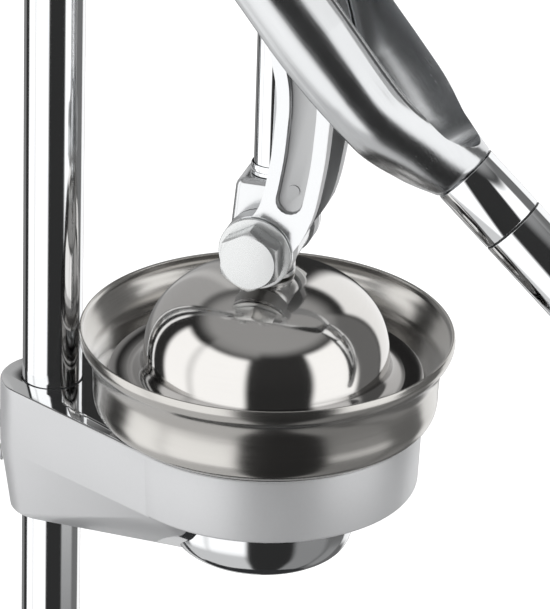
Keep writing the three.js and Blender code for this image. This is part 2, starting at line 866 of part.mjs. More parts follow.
function addHubBolt(carriage) {
  const seat = knuckleHalfWidth + runningGap + linkThickness + fit;
  const washerBore = hubBoltRadius + fit;
  const headSeat = seat + hubWasherThickness + fit;
  const length = 2 * headSeat + hubBoltNutHeight + boltEndSpare;
  const bolt = hexBolt(hubBoltAcrossFlats, hubBoltHeadHeight, hubBoltRadius, length);
  const left = [0, -Math.PI / 2, 0];
  const right = [0, Math.PI / 2, 0];
  const disc = () => washer(hubWasherRadius, washerBore, hubWasherThickness);
  piece(carriage, 'hub_bolt', bolt, zincSteel(), [-headSeat, 0, hubRise], left);
  piece(carriage, 'hub_bolt_washer', disc(), zincSteel(), [-seat, 0, hubRise], left);
  piece(carriage, 'hub_nut_washer', disc(), zincSteel(), [seat, 0, hubRise], right);
  const nut = hexNut(hubBoltAcrossFlats, hubBoltNutHeight, washerBore);
  piece(carriage, 'hub_nut', nut, zincSteel(), [headSeat, 0, hubRise], right);
}

function addCarriage(stand) {
  const carriage = new THREE.Group();
  stand.add(carriage);
  piece(carriage, 'bell', bell(), polishedSteel());
  piece(carriage, 'bell_collar', bellCollar(), zincSteel(), [0, 0, collarFootZ]);
  const lean = Math.sqrt(1 - (bellWasherRadius / bellRadius) ** 2);
  const washerTop = bellWaistRise + (bellDomeHeight - bellSheet) * lean - fit;
  const headSeat = washerTop - bellWasherThickness - fit;
  const inside = washer(bellWasherRadius, bellScrewRadius + fit, bellWasherThickness);
  piece(carriage, 'bell_washer', inside, zincSteel(), [0, 0, washerTop - bellWasherThickness]);
  const length = knuckleFootZ + bellScrewReach - headSeat;
  const screw = socketScrew(bellScrewRadius, length, bellScrewHeadRadius, bellScrewHeadHeight);
  piece(carriage, 'bell_screw', screw, zincSteel(), [0, 0, headSeat], [Math.PI, 0, 0]);
  piece(carriage, 'knuckle', knuckle(), castAluminium());
  piece(carriage, 'guide_rod', chamferedRod(rodRadius, rodFootZ, rodTopZ, rodChamfer), chrome());
  piece(carriage, 'rod_collar', rodCollar(), chrome(), [0, 0, knuckleTopRise + fit]);
  piece(carriage, 'rod_stop', rodStop(), chrome(), [0, 0, rodStopFootZ]);
  addHubBolt(carriage);
}

// Links, drawn as a side view in Y and Z

function linkMiddle() {
  const length = crankRise - hubRise;
  return linkBowShares.map(([t, bow]) => [-linkBow * bow, hubRise + length * t]);
}

function link(side) {
  const inner = knuckleHalfWidth + runningGap;
  const outer = inner + linkThickness;
  const floor = outer - linkRecessDepth;
  const [foot, top] = side > 0 ? [inner, outer] : [-outer, -inner];
  const [recessFoot, recessTop] = side > 0 ? [floor, outer + overrun] : [-outer - overrun, -floor];
  const middle = curveThrough(linkMiddle(), linkSteps);
  const body = extruded(bandOutline(middle, () => linkHalfWidth), foot, top);
  const lowerHub = rod(linkLowerHubRadius, foot, top).translate(0, hubRise, 0);
  const upperHub = rod(linkUpperHubRadius, foot, top).translate(0, crankRise, 0);
  const lowest = hubRise + linkRecessInset;
  const highest = crankRise - linkRecessInset;
  const recessPath = middle.filter((point) => point.y > lowest && point.y < highest);
  const recess = extruded(bandOutline(recessPath, () => linkRecessHalf), recessFoot, recessTop);
  const recessEnds = [recessPath[0], recessPath.at(-1)].map((point) => {
    const end = rod(linkRecessHalf, recessFoot, recessTop, smallFacets);
    return end.translate(point.x, point.y, 0);
  });
  const hubBore = rod(hubBoltRadius + runningGap, foot - overrun, top + overrun).translate(0, hubRise, 0);
  const eye = rod(linkBushRadius + fit, foot - overrun, top + overrun).translate(0, crankRise, 0);
  return acrossX(cut(join(body, lowerHub, upperHub), recess, ...recessEnds, hubBore, eye));
}

function addLinks(stand) {
  const links = new THREE.Group();
  stand.add(links);
  const inner = knuckleHalfWidth + runningGap;
  const bush = () => tube(linkBushRadius, linkBushBoreRadius, 0, linkThickness, smallFacets);
  piece(links, 'link_left', link(-1), castAluminium());
  piece(links, 'link_right', link(1), castAluminium());
  const left = [-inner, 0, crankRise];
  const right = [inner, 0, crankRise];
  piece(links, 'link_bush_left', bush(), brassBush(), left, [0, -Math.PI / 2, 0]);
  piece(links, 'link_bush_right', bush(), brassBush(), right, [0, Math.PI / 2, 0]);
}

// Lever. Its own frame has +Y along the chord from the handle's neck to the pivot, and Z square to it.

const chordForward = neckForward + pivotSetback;
const chordRise = pivotRise - neckRise;
const chordLength = Math.hypot(chordForward, chordRise);
const chordSlope = Math.atan2(chordRise, chordForward);
const loopInnerHalf = knuckleHalfWidth + runningGap + linkThickness + sideGap;
const loopOuterHalf = loopInnerHalf + loopWall;
const loopDepth = loopFullHalf + loopSag + overrun;
const spigotRadius = handleRadius - handleWall;
const handleTurn = Math.PI / 2 + handleSlope - chordSlope;

function loopSides() {
  const points = loopSagShares.map(([t, sag]) => [chordLength * t, -loopSag * sag]);
  const middle = curveThrough(points, loopSteps);
  const rise = loopFullHalf - loopNeckHalf;
  const outline = bandOutline(middle, (t) => loopNeckHalf + rise * between(loopHeightShares, t));
  const reach = loopOuterHalf + overrun;
  const ear = rod(loopFullHalf, -reach, reach).translate(chordLength, 0, 0);
  return acrossX(join(extruded(outline, -reach, reach), ear));
}

function loopPlan() {
  const nose = noseLength + tipWall;
  const swell = loopOuterHalf - handleRadius;
  const rear = chordLength + loopFullHalf + overrun;
  const side = loopNoseShares.map(([t, share]) => [handleRadius + swell * share, nose * t]);
  const right = [[handleRadius, -nose], ...side, [loopOuterHalf, rear]];
  const left = right.map(([x, y]) => [-x, y]).reverse();
  return extruded([...right, ...left], -loopDepth, loopDepth);
}

function loopOpening() {
  const rear = chordLength + loopFullHalf + 2 * overrun;
  const right = [];
  for (let i = 0; i <= noseSteps; i += 1) {
    const angle = (Math.PI / 2) * (i / noseSteps);
    right.push([loopInnerHalf * Math.sin(angle), tipWall + noseLength * (1 - Math.cos(angle))]);
  }
  right.push([loopInnerHalf, rear]);
  const left = right.slice(1).map(([x, y]) => [-x, y]).reverse();
  return extruded([...right, ...left], -loopDepth - overrun, loopDepth + overrun);
}

// The walls bulge outwards between the loop's two rims.
function loopCrownBody() {
  const right = [];
  for (let i = 0; i <= crownSteps; i += 1) {
    const height = (2 * i) / crownSteps - 1;
    right.push([loopOuterHalf - loopCrown * height * height, loopDepth * height]);
  }
  const left = right.map(([x, y]) => [-x, y]).reverse();
  const rear = chordLength + loopFullHalf + overrun;
  return backward(extruded([...right, ...left], -overrun - spigotLength, rear));
}

// A round body about the handle's axis that swells away from the handle, to round off the loop's nose.
function loopNeckBody() {
  const reach = chordLength / 2;
  const full = 2 * loopDepth;
  const growth = full - handleRadius;
  const swell = loopNeckSwellShares.map(([t, share]) => [handleRadius + growth * share, -reach * t]);
  const foot = [[0, -2 * chordLength], [full, -2 * chordLength]];
  const profile = [...foot, ...swell.reverse(), [handleRadius, overrun], [0, overrun]];
  return turned(profile, shellFacets).rotateX(handleTurn);
}

function leverLoop() {
  const beyondNeck = rod(2 * loopDepth, 0, 2 * loopDepth).rotateX(handleTurn);
  const bulk = common(loopSides(), loopPlan(), loopCrownBody(), loopNeckBody());
  const body = cut(bulk, loopOpening(), beyondNeck);
  const spigot = rod(spigotRadius, -tipWall / 2, spigotLength).rotateX(handleTurn);
  const reach = loopOuterHalf + overrun;
  const pivotBore = acrossX(rod(pivotBoltRadius + fit, -reach, reach)).translate(0, chordLength, 0);
  const crankBore = acrossX(rod(crankBoltRadius + fit, -reach, reach)).translate(0, ...crankPlace());
  return cut(join(body, spigot), pivotBore, crankBore);
}

// The crank pin's place in the lever's own frame.
function crankPlace() {
  const forward = neckForward;
  const rise = crankRise - neckRise;
  const along = forward * Math.cos(chordSlope) + rise * Math.sin(chordSlope);
  const across = rise * Math.cos(chordSlope) - forward * Math.sin(chordSlope);
  return [along, across];
}

function endCap() {
  const profile = [[0, -endCapPlug], [spigotRadius, -endCapPlug], [spigotRadius, 0], [handleRadius, 0]];
  for (let i = 0; i <= capSteps; i += 1) {
    const angle = (Math.PI / 2) * (i / capSteps);
    profile.push([handleRadius * Math.cos(angle), edgeRound + endCapDome * Math.sin(angle)]);
  }
  return turned(profile);
}

function addHandle(lever) {
  const handle = new THREE.Group();
  handle.rotation.x = handleTurn;
  lever.add(handle);
  const bore = spigotRadius + fit;
  const seam = fit + ferruleLength + fit;
  const tubeFoot = seam + seamLength + fit;
  const tubeTop = tubeFoot + handleTubeLength;
  piece(handle, 'handle_ferrule', tube(handleRadius, bore, 0, ferruleLength), chrome(), [0, 0, fit]);
  const ring = tube(handleRadius - seamInset, bore, 0, seamLength);
  piece(handle, 'handle_seam_ring', ring, blackPlastic(), [0, 0, seam]);
  piece(handle, 'handle_tube', tube(handleRadius, bore, 0, handleTubeLength), chrome(), [0, 0, tubeFoot]);
  piece(handle, 'handle_end_cap', endCap(), blackPlastic(), [0, 0, tubeTop + fit]);
}

function addPivotBolt(lever) {
  const seat = loopOuterHalf + fit;
  const bore = pivotBoltRadius + fit;
  const headSeat = seat + pivotWasherThickness + fit;
  const length = 2 * headSeat + pivotNutHeight + boltEndSpare;
  const bolt = hexBolt(pivotAcrossFlats, pivotHeadHeight, pivotBoltRadius, length);
  const left = [0, -Math.PI / 2, 0];
  const right = [0, Math.PI / 2, 0];
  const disc = () => washer(pivotWasherRadius, bore, pivotWasherThickness);
  piece(lever, 'pivot_bolt', bolt, zincSteel(), [-headSeat, chordLength, 0], left);
  piece(lever, 'pivot_bolt_washer', disc(), zincSteel(), [-seat, chordLength, 0], left);
  piece(lever, 'pivot_nut_washer', disc(), zincSteel(), [seat, chordLength, 0], right);
  const nut = hexNut(pivotAcrossFlats, pivotNutHeight, bore);
  piece(lever, 'pivot_nut', nut, zincSteel(), [headSeat, chordLength, 0], right);
}

function addLever(stand) {
  const lever = new THREE.Group();
  lever.position.set(0, -neckForward, neckRise);
  lever.rotation.x = chordSlope;
  stand.add(lever);
  piece(lever, 'lever_loop', leverLoop(), castAluminium());
  addHandle(lever);
  addPivotBolt(lever);
  const seat = loopOuterHalf + fit;
  const stub = () => socketScrew(crankBoltRadius, loopWall + fit, crankHeadRadius, crankHeadHeight);
  piece(lever, 'crank_bolt_left', stub(), zincSteel(), [-seat, ...crankPlace()], [0, -Math.PI / 2, 0]);
  piece(lever, 'crank_bolt_right', stub(), zincSteel(), [seat, ...crankPlace()], [0, Math.PI / 2, 0]);
}

// Head on top of the pole: a clamp, a forward web, the lever's boss and the rod's guide

function head() {
  const middle = (headBarrelTop + headBarrelFoot) / 2;
  const barrel = chamferedRod(headBarrelRadius, headBarrelFoot, headBarrelTop, edgeRound);
  barrel.translate(0, poleSetback, 0);
  const web = new THREE.BoxGeometry(2 * headWebHalf, poleSetback, headWebTop - headWebFoot);
  web.translate(0, poleSetback / 2, (headWebTop + headWebFoot) / 2);
  const boss = acrossX(chamferedRod(headBossRadius, -headBossHalf, headBossHalf, edgeRound));
  boss.translate(0, pivotSetback, pivotRise);
  const block = new THREE.BoxGeometry(2 * guideHalf, 2 * guideDepth, guideTop - guideFoot);
  block.translate(0, 0, (guideTop + guideFoot) / 2);
  const guide = common(rod(guideDepth, guideFoot, guideTop), block);
  const poleHole = rod(poleRadius + poleHoleGap, headBarrelFoot - overrun, headBarrelTop + overrun);
  poleHole.translate(0, poleSetback, 0);
  const guideBore = rod(guideBushRadius + fit, guideFoot - overrun, guideTop + overrun);
  const pivotReach = headBossHalf + overrun;
  const pivotBore = acrossX(rod(pivotBoltRadius + runningGap, -pivotReach, pivotReach));
  pivotBore.translate(0, pivotSetback, pivotRise);
  return cut(join(barrel, web, boss, guide), poleHole, guideBore, pivotBore, setScrewHole(middle));
}

function guideBush() {
  const inner = rodRadius + runningGap;
  return turnedRing([
    [inner, 0],
    [guideBushRadius, 0],
    [guideBushRadius, guideBushLength],
    [guideFlangeRadius, guideBushLength],
    [guideFlangeRadius, guideBushLength + guideFlangeThickness],
    [inner, guideBushLength + guideFlangeThickness],
  ]);
}

function poleCap() {
  const plug = poleRadius + poleHoleGap - fit;
  return turned([
    [0, -capPlug],
    [plug, -capPlug],
    [plug, 0],
    [headBarrelRadius, 0],
    [headBarrelRadius, capRise - 2 * edgeRound],
    [headBarrelRadius - edgeRound, capRise - edgeRound / 2],
    [headBarrelRadius - 3 * edgeRound, capRise],
    [0, capRise],
  ]);
}

function addHead(stand) {
  piece(stand, 'head', head(), castAluminium());
  piece(stand, 'pole_cap', poleCap(), blackPlastic(), [0, poleSetback, headBarrelTop + fit]);
  addSetScrew(stand, 'head_set_screw', headBarrelRadius, (headBarrelTop + headBarrelFoot) / 2);
  const upper = [0, 0, guideTop + fit - guideBushLength];
  const lower = [0, 0, guideFoot - fit + guideBushLength];
  piece(stand, 'guide_bush_upper', guideBush(), brassBush(), upper);
  piece(stand, 'guide_bush_lower', guideBush(), brassBush(), lower, [Math.PI, 0, 0]);
}

// The whole press, standing on its feet, with the origin under the middle of its box

function citrusPress() {
  const model = new THREE.Group();
  const body = new THREE.Group();
  model.add(body);
  addBase(body);
  const stand = new THREE.Group();
  stand.position.z = ringHeight;
  body.add(stand);
  addBracket(stand);
  addBowl(stand);
  addCarriage(stand);
  addLinks(stand);
  addLever(stand);
  addHead(stand);
  model.updateMatrixWorld(true);
  const middle = new THREE.Box3().setFromObject(model, true).getCenter(new THREE.Vector3());
  body.position.y = -middle.y;
  model.updateMatrixWorld(true);
  return model;
}

export default citrusPress();
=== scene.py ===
# %% [markdown]
# A lever citrus press stands on a pole. A bracket on the pole carries the juice bowl, a bell comes
# down on the fruit, and a looped lever with two bowed links drives the bell's rod. This lesson dresses
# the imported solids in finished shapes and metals, piece by piece, and then sets up a small studio.
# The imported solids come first, because they fix where every piece belongs.

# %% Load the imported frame
import json
import math
import bpy
from mathutils import Matrix, Vector


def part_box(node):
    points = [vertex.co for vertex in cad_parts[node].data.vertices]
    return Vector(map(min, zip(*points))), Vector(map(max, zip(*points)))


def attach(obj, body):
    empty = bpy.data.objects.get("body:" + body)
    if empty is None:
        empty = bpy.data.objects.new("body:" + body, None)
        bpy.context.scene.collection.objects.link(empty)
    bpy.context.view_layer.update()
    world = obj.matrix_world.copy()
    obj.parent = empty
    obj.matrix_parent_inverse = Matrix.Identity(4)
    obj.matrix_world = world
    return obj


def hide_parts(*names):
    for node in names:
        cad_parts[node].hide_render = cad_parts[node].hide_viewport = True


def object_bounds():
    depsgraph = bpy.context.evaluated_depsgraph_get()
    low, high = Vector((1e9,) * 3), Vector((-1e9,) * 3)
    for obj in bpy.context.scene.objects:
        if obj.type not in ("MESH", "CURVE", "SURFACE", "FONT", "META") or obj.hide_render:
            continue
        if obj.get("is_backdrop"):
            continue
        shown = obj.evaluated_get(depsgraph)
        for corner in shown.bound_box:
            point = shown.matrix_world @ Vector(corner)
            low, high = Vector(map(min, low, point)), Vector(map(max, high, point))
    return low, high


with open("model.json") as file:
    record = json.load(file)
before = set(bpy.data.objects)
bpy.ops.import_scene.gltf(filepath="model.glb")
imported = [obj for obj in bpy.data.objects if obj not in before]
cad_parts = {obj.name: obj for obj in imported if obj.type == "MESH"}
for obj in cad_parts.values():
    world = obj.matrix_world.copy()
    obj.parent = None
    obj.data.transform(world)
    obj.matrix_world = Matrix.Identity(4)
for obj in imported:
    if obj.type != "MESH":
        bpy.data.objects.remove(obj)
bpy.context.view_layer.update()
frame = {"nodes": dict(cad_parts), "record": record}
record = frame["record"]
body_of_node = {n: body for body, members in record["behaviour"]["bodies"].items() for n in members}

# %% [markdown]
# Nearly every piece of the press is round the axis of the bell or lies beside it, so places are given
# in millimetres from one point: the flat top of the bracket's ring, on the bell's axis. The solids say
# where that point is.

# %% The point that all places are measured from
mm = 0.001
bell_low, bell_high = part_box("bell")
bracket_low, bracket_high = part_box("bracket")
ring_top = Vector((0, (bell_low.y + bell_high.y) / 2, bracket_high.z))


def place(x, y, z):
    return ring_top + Vector((x, y, z)) * mm


print("bell axis at y", round(ring_top.y, 5), "ring top at z", round(ring_top.z, 5))

# %% Places and directions that several pieces share
pole_y, table = 74.4, -215
on_pole = (0, pole_y, 0)
hub_z, eye_z = 64.4, 163
pivot = (44, 215.1)
neck = (0, -63.8, 94.9)
loop_slope, handle_slope = math.radians(48.1), math.radians(133.5)
across_x = (math.pi / 2, 0, math.pi / 2)
facing_left, facing_right = (0, -math.pi / 2, 0), (0, math.pi / 2, 0)
facing_back, upside_down = (-math.pi / 2, 0, 0), (math.pi, 0, 0)
print("pole", round(pole_y), "mm behind the bell's axis, hub", hub_z, "mm over the ring")


# %% [markdown]
# Operators act on whatever is selected, so each helper clears the selection before it starts. A tool
# is moved in plain millimetres, and a finished piece is settled from the ring's top. Either way its
# place goes into its mesh, and its object stays at the origin.

# %% Select, apply and settle
def only(piece):
    bpy.ops.object.select_all(action="DESELECT")
    piece.select_set(True)
    bpy.context.view_layer.objects.active = piece
    return piece


def modified(piece, kind, **settings):
    only(piece)
    bpy.ops.object.modifier_add(type=kind)
    modifier = piece.modifiers[-1]
    for key, value in settings.items():
        setattr(modifier, key, value)
    bpy.ops.object.modifier_apply(modifier=modifier.name)
    return piece


def local(piece):
    only(piece)
    bpy.ops.object.transform_apply(location=True, rotation=True, scale=True)
    return piece


def moved(piece, spot, turn=(0, 0, 0)):
    piece.rotation_euler, piece.location = turn, [step * mm for step in spot]
    return local(piece)


def settle(piece, spot=(0, 0, 0), turn=(0, 0, 0)):
    piece.rotation_euler, piece.location = turn, place(*spot)
    return local(piece)


def copy_of(piece, name):
    copy = piece.copy()
    copy.data, copy.name = piece.data.copy(), name
    bpy.context.collection.objects.link(copy)
    return copy


def joined(pieces, name):
    only(pieces[0])
    for piece in pieces:
        piece.select_set(True)
    bpy.ops.object.join()
    pieces[0].name = name
    return pieces[0]


def outward(piece):
    bpy.ops.mesh.select_all(action="SELECT")
    bpy.ops.mesh.normals_make_consistent(inside=False)
    bpy.ops.object.mode_set(mode="OBJECT")
    return piece


# %% [markdown]
# Booleans join and cut the castings as a foundry pattern is built up. A narrow bevel then breaks the
# sharp edges, because a real edge always shows a thin line of light.

# %% Join, cut, soften
def combined(piece, operation, others):
    for other in others:
        modified(piece, "BOOLEAN", operation=operation, solver="MANIFOLD", object=other)
        bpy.data.objects.remove(other)
    return piece


def united(piece, *others):
    return combined(piece, "UNION", others)


def cut(piece, *tools):
    return combined(piece, "DIFFERENCE", tools)


def shared(piece, other):
    return combined(piece, "INTERSECT", [other])


def softened(piece, width, angle=35, segments=3):
    return modified(piece, "BEVEL", width=width * mm, segments=segments, limit_method="ANGLE",
                    angle_limit=math.radians(angle), harden_normals=False, miter_outer="MITER_ARC")


# %% [markdown]
# Turned pieces are spun from half a profile. The profile is one vertex, extruded from point to point,
# as a pencil line on a lathe drawing. Points are (radius, height) in millimetres.

# %% Draw a line and spin it
def edit_all(piece):
    only(piece)
    bpy.ops.object.mode_set(mode="EDIT")
    bpy.ops.mesh.select_all(action="SELECT")


def drawn(name, points, flat=False):
    bpy.ops.mesh.primitive_plane_add(size=mm, location=(0, 0, 0))
    piece = bpy.context.object
    piece.name = name
    edit_all(piece)
    bpy.ops.mesh.merge(type="CENTER")
    here = (0, 0)
    for number, point in enumerate(points):
        across, up = (point[0] - here[0]) * mm, (point[1] - here[1]) * mm
        step = (across, up, 0) if flat else (across, 0, up)
        if number:
            bpy.ops.mesh.extrude_vertices_move(TRANSFORM_OT_translate={"value": step})
        else:
            bpy.ops.transform.translate(value=step)
        here = point
    return piece


def turned(name, points, steps=96, sheet=0):
    piece = drawn(name, points)
    bpy.ops.mesh.select_all(action="SELECT")
    bpy.ops.mesh.spin(steps=steps, angle=math.tau, center=(0, 0, 0), axis=(0, 0, 1))
    bpy.ops.mesh.select_all(action="SELECT")
    bpy.ops.mesh.remove_doubles(threshold=0.001 * mm)
    outward(piece)
    if sheet:
        modified(piece, "SOLIDIFY", thickness=sheet * mm, offset=-1, use_even_offset=True)
    return piece


def closed(points):
    return [*points, points[0]]


def arc(across, up, radius, start, end, steps=6):
    angles = [math.radians(start + (end - start) * i / steps) for i in range(steps + 1)]
    return [(across + radius * math.cos(a), up + radius * math.sin(a)) for a in angles]


# %% [markdown]
# Flat outlines, such as the links, are drawn the same way, filled with one face and extruded to
# their thickness. Soft curves pass through a few measured points as a spline does.

# %% Plates and curves
def curve(points, spans=6):
    ends = [points[0], *points, points[-1]]
    line = []
    for a, b, c, d in zip(ends, ends[1:], ends[2:], ends[3:]):
        for i in range(spans):
            t = i / spans
            line.append(tuple(
                0.5 * (2 * q + (r - p) * t + (2 * p - 5 * q + 4 * r - s) * t ** 2
                       + (3 * q - p - 3 * r + s) * t ** 3)
                for p, q, r, s in zip(a, b, c, d)))
    return [*line, points[-1]]


def plate(name, outline, low, high):
    piece = drawn(name, closed(outline), flat=True)
    bpy.ops.mesh.select_all(action="SELECT")
    bpy.ops.mesh.remove_doubles(threshold=0.001 * mm)
    bpy.ops.mesh.edge_face_add()
    bpy.ops.transform.translate(value=(0, 0, low * mm))
    bpy.ops.mesh.extrude_region_move(TRANSFORM_OT_translate={"value": (0, 0, (high - low) * mm)})
    return outward(piece)


def bar(name, radius, low, high, steps=64):
    return turned(name, [(0, low), (radius, low), (radius, high), (0, high)], steps)


# %% [markdown]
# The base, the bracket's arm and the knuckle are skins stretched over round sections. Circles are laid
# at their heights and one convex hull wraps them, which gives the tangent walls that a pattern maker
# would plane.

# %% Stretch a skin over circles
def hulled(name, circles, steps=72):
    rings = []
    for radius, x, y, z, *limit in circles:
        spot = (x * mm, y * mm, z * mm)
        bpy.ops.mesh.primitive_circle_add(vertices=steps, radius=radius * mm, location=spot)
        ring = local(bpy.context.object)
        if limit:
            edit_all(ring)
            bpy.ops.mesh.bisect(plane_co=(0, limit[0] * mm, 0), plane_no=(0, 1, 0), clear_inner=True)
            bpy.ops.object.mode_set(mode="OBJECT")
        rings.append(ring)
    piece = joined(rings, name)
    edit_all(piece)
    bpy.ops.mesh.convex_hull()
    return outward(piece)


# %% [markdown]
# Metal is told apart by the marks its making left. Turned parts carry fine rings, sheet carries brushed
# lines, castings carry a soft grain under the polish. Each kind of mark is one node group, which every
# material below places with its own values.

# %% Short names for nodes
def put(tree, socket, value):
    if hasattr(value, "links"):
        tree.links.new(value, socket)
    elif value is not None:
        socket.default_value = value


def added(tree, kind, values, **settings):
    node = tree.nodes.new("ShaderNode" + kind)
    for key, value in settings.items():
        setattr(node, key, value)
    for socket, value in values.items():
        put(tree, node.inputs[socket], value)
    return node


def maths(tree, operation, first, second=None):
    return added(tree, "Math", {0: first, 1: second}, operation=operation).outputs[0]


def times(tree, first, second):
    return maths(tree, "MULTIPLY", first, second)


def plus(tree, first, second):
    return maths(tree, "ADD", first, second)


def axes(tree, vector):
    outputs = added(tree, "SeparateXYZ", {0: vector}).outputs
    return outputs[0], outputs[1], outputs[2]


def object_spot(tree):
    return tree.nodes.new("ShaderNodeTexCoord").outputs["Object"]


def relief(tree, height, strength, distance=1.0):
    values = {"Height": height, "Strength": strength, "Distance": distance}
    return added(tree, "Bump", values).outputs["Normal"]


def ranged(tree, value, start, end, low=0.0, high=1.0, smooth=False):
    values = {"Value": value, "From Min": start, "From Max": end, "To Min": low, "To Max": high}
    kind = "SMOOTHSTEP" if smooth else "LINEAR"
    return added(tree, "MapRange", values, interpolation_type=kind).outputs["Result"]


def mixed(tree, kind, factor, first, second):
    return added(tree, "Mix", {"Factor": factor, "A": first, "B": second}, data_type=kind).outputs["Result"]


# %% Node groups for the marks
def noise(tree, vector, scale, detail=3.0, roughness=0.5):
    values = {"Vector": vector, "Scale": scale, "Detail": detail, "Roughness": roughness}
    return added(tree, "TexNoise", values).outputs["Fac"]


def marks_group(name, cloud_scale, cloud_detail=3.0):
    tree = bpy.data.node_groups.new(name, "ShaderNodeTree")
    for label, side, kind in (("Vector", "INPUT", "Vector"), ("Lines", "INPUT", "Float"),
                              ("Marks", "OUTPUT", "Float"), ("Clouds", "OUTPUT", "Float")):
        tree.interface.new_socket(label, in_out=side, socket_type="NodeSocket" + kind)
    entry, out = tree.nodes.new("NodeGroupInput"), tree.nodes.new("NodeGroupOutput")
    spot = entry.outputs["Vector"]
    tree.links.new(noise(tree, spot, cloud_scale, cloud_detail), out.inputs["Clouds"])
    return tree, spot, entry.outputs["Lines"], out.inputs["Marks"]


def streaks(tree, stretched, roughness, out):
    lines = added(tree, "CombineXYZ", dict(enumerate(stretched)))
    tree.links.new(noise(tree, lines.outputs[0], 1.0, 3.0, roughness), out)
    return tree


def ring_marks():
    tree, spot, lines, out = marks_group("ring_marks", 28.0)
    x, y, z = axes(tree, spot)
    radius = maths(tree, "SQRT", plus(tree, times(tree, x, x), times(tree, y, y)))
    turn = maths(tree, "ARCTAN2", y, x)
    stretched = (times(tree, radius, lines), times(tree, z, lines), times(tree, turn, 1.5))
    return streaks(tree, stretched, 0.65, out)


def brush_marks():
    tree, spot, lines, out = marks_group("brush_marks", 35.0)
    x, y, z = axes(tree, spot)
    stretched = (times(tree, x, lines), times(tree, y, 60.0), times(tree, z, lines))
    return streaks(tree, stretched, 0.6, out)


def cast_grain():
    tree, spot, lines, out = marks_group("cast_grain", 40.0, 4.0)
    tree.links.new(noise(tree, spot, lines), out)
    return tree


marks = {"rings": ring_marks(), "brushed": brush_marks(), "cast": cast_grain()}
print("groups", [tree.name for tree in marks.values()])


# %% [markdown]
# One recipe serves all finishes. The marks disturb the roughness and the surface a little, the clouds
# vary the tone, and the constants stay on the shader. The pattern is centred on the piece by a Mapping
# node, so that rings run round its own axis.

# %% The finish recipe
def finish(name, kind, dark, light, rough, bump=0.0, lines=4000.0, metallic=1.0, centre=(0, 0, 0),
           turn=(0, 0, 0), depth=0.00002):
    material = bpy.data.materials.new(name)
    material.use_nodes = True
    tree = material.node_tree
    shader = tree.nodes["Principled BSDF"]
    shader.inputs["Metallic"].default_value = metallic
    spot = {"Vector": object_spot(tree), "Location": place(*centre), "Rotation": turn}
    mapping = added(tree, "Mapping", spot, vector_type="TEXTURE")
    effect = added(tree, "Group", {}, node_tree=marks[kind])
    put(tree, effect.inputs["Vector"], mapping.outputs[0])
    put(tree, effect.inputs["Lines"], lines)
    pattern, clouds = effect.outputs["Marks"], effect.outputs["Clouds"]
    blend = plus(tree, times(tree, pattern, 0.4), times(tree, clouds, 0.6))
    tree.links.new(mixed(tree, "RGBA", blend, (*dark, 1), (*light, 1)), shader.inputs["Base Color"])
    tree.links.new(ranged(tree, blend, 0.3, 0.7, *rough), shader.inputs["Roughness"])
    if bump:
        tree.links.new(relief(tree, pattern, bump, depth), shader.inputs["Normal"])
    return material


chrome = (0.84, 0.85, 0.86), (0.9, 0.91, 0.92)
zinc = (0.66, 0.67, 0.67), (0.8, 0.81, 0.81)
pole_chrome = finish("pole_chrome", "rings", *chrome, (0.06, 0.12), centre=on_pole)
rod_chrome = finish("rod_chrome", "rings", *chrome, (0.04, 0.08))
handle_chrome = finish("handle_chrome", "rings", *chrome, (0.04, 0.08),
                       centre=neck, turn=(handle_slope, 0, 0))
bracket_satin = finish("bracket_satin", "cast", (0.64, 0.645, 0.655), (0.72, 0.725, 0.735), (0.36, 0.48),
                       bump=0.12, lines=900.0, metallic=0.52)
bowl_steel = finish("bowl_steel", "rings", (0.50, 0.485, 0.46), (0.66, 0.645, 0.62), (0.14, 0.26),
                    bump=0.25, lines=3000.0)
# The strainer's dark tone is painted shade, for its place deep in the bowl.
strainer_steel = finish("strainer_steel", "rings", (0.26, 0.25, 0.24), (0.36, 0.35, 0.335), (0.2, 0.34),
                        bump=0.2, lines=3000.0)
bell_mirror = finish("bell_mirror", "rings", (0.66, 0.645, 0.625), (0.74, 0.725, 0.705), (0.07, 0.13),
                     bump=0.02, lines=1500.0)
link_cast = finish("link_cast", "cast", (0.68, 0.69, 0.70), (0.80, 0.81, 0.82), (0.1, 0.2),
                   bump=0.25, lines=2200.0, depth=0.00003)
knuckle_cast = finish("knuckle_cast", "cast", (0.70, 0.71, 0.72), (0.82, 0.83, 0.84), (0.12, 0.22),
                      bump=0.12, lines=900.0, metallic=0.9)
loop_brush = finish("loop_brush", "brushed", (0.56, 0.57, 0.58), (0.78, 0.79, 0.80), (0.13, 0.3),
                    bump=0.45, lines=1500.0, centre=neck, turn=(loop_slope, 0, 0))
bolt_zinc = finish("bolt_zinc", "cast", *zinc, (0.22, 0.36),
                   bump=0.4, lines=2500.0, metallic=0.85)
cone_cast = finish("cone_cast", "cast", *zinc, (0.24, 0.4),
                   bump=0.35, lines=1200.0)
bush_bronze = finish("bush_bronze", "rings", (0.45, 0.30, 0.12), (0.62, 0.43, 0.2), (0.25, 0.4),
                     bump=0.2, lines=3000.0)
cap_plastic = finish("cap_plastic", "cast", (0.012, 0.012, 0.013), (0.022, 0.022, 0.023), (0.38, 0.52),
                     bump=0.25, lines=2500.0, metallic=0.0)
foot_rubber = finish("foot_rubber", "cast", (0.014, 0.014, 0.014), (0.03, 0.03, 0.03), (0.75, 0.92),
                     bump=0.5, lines=1800.0, metallic=0.0)
base_paint = finish("base_paint", "cast", (0.022, 0.023, 0.025), (0.05, 0.052, 0.055), (0.42, 0.6),
                    bump=0.8, lines=1100.0, metallic=0.35, depth=0.00012)
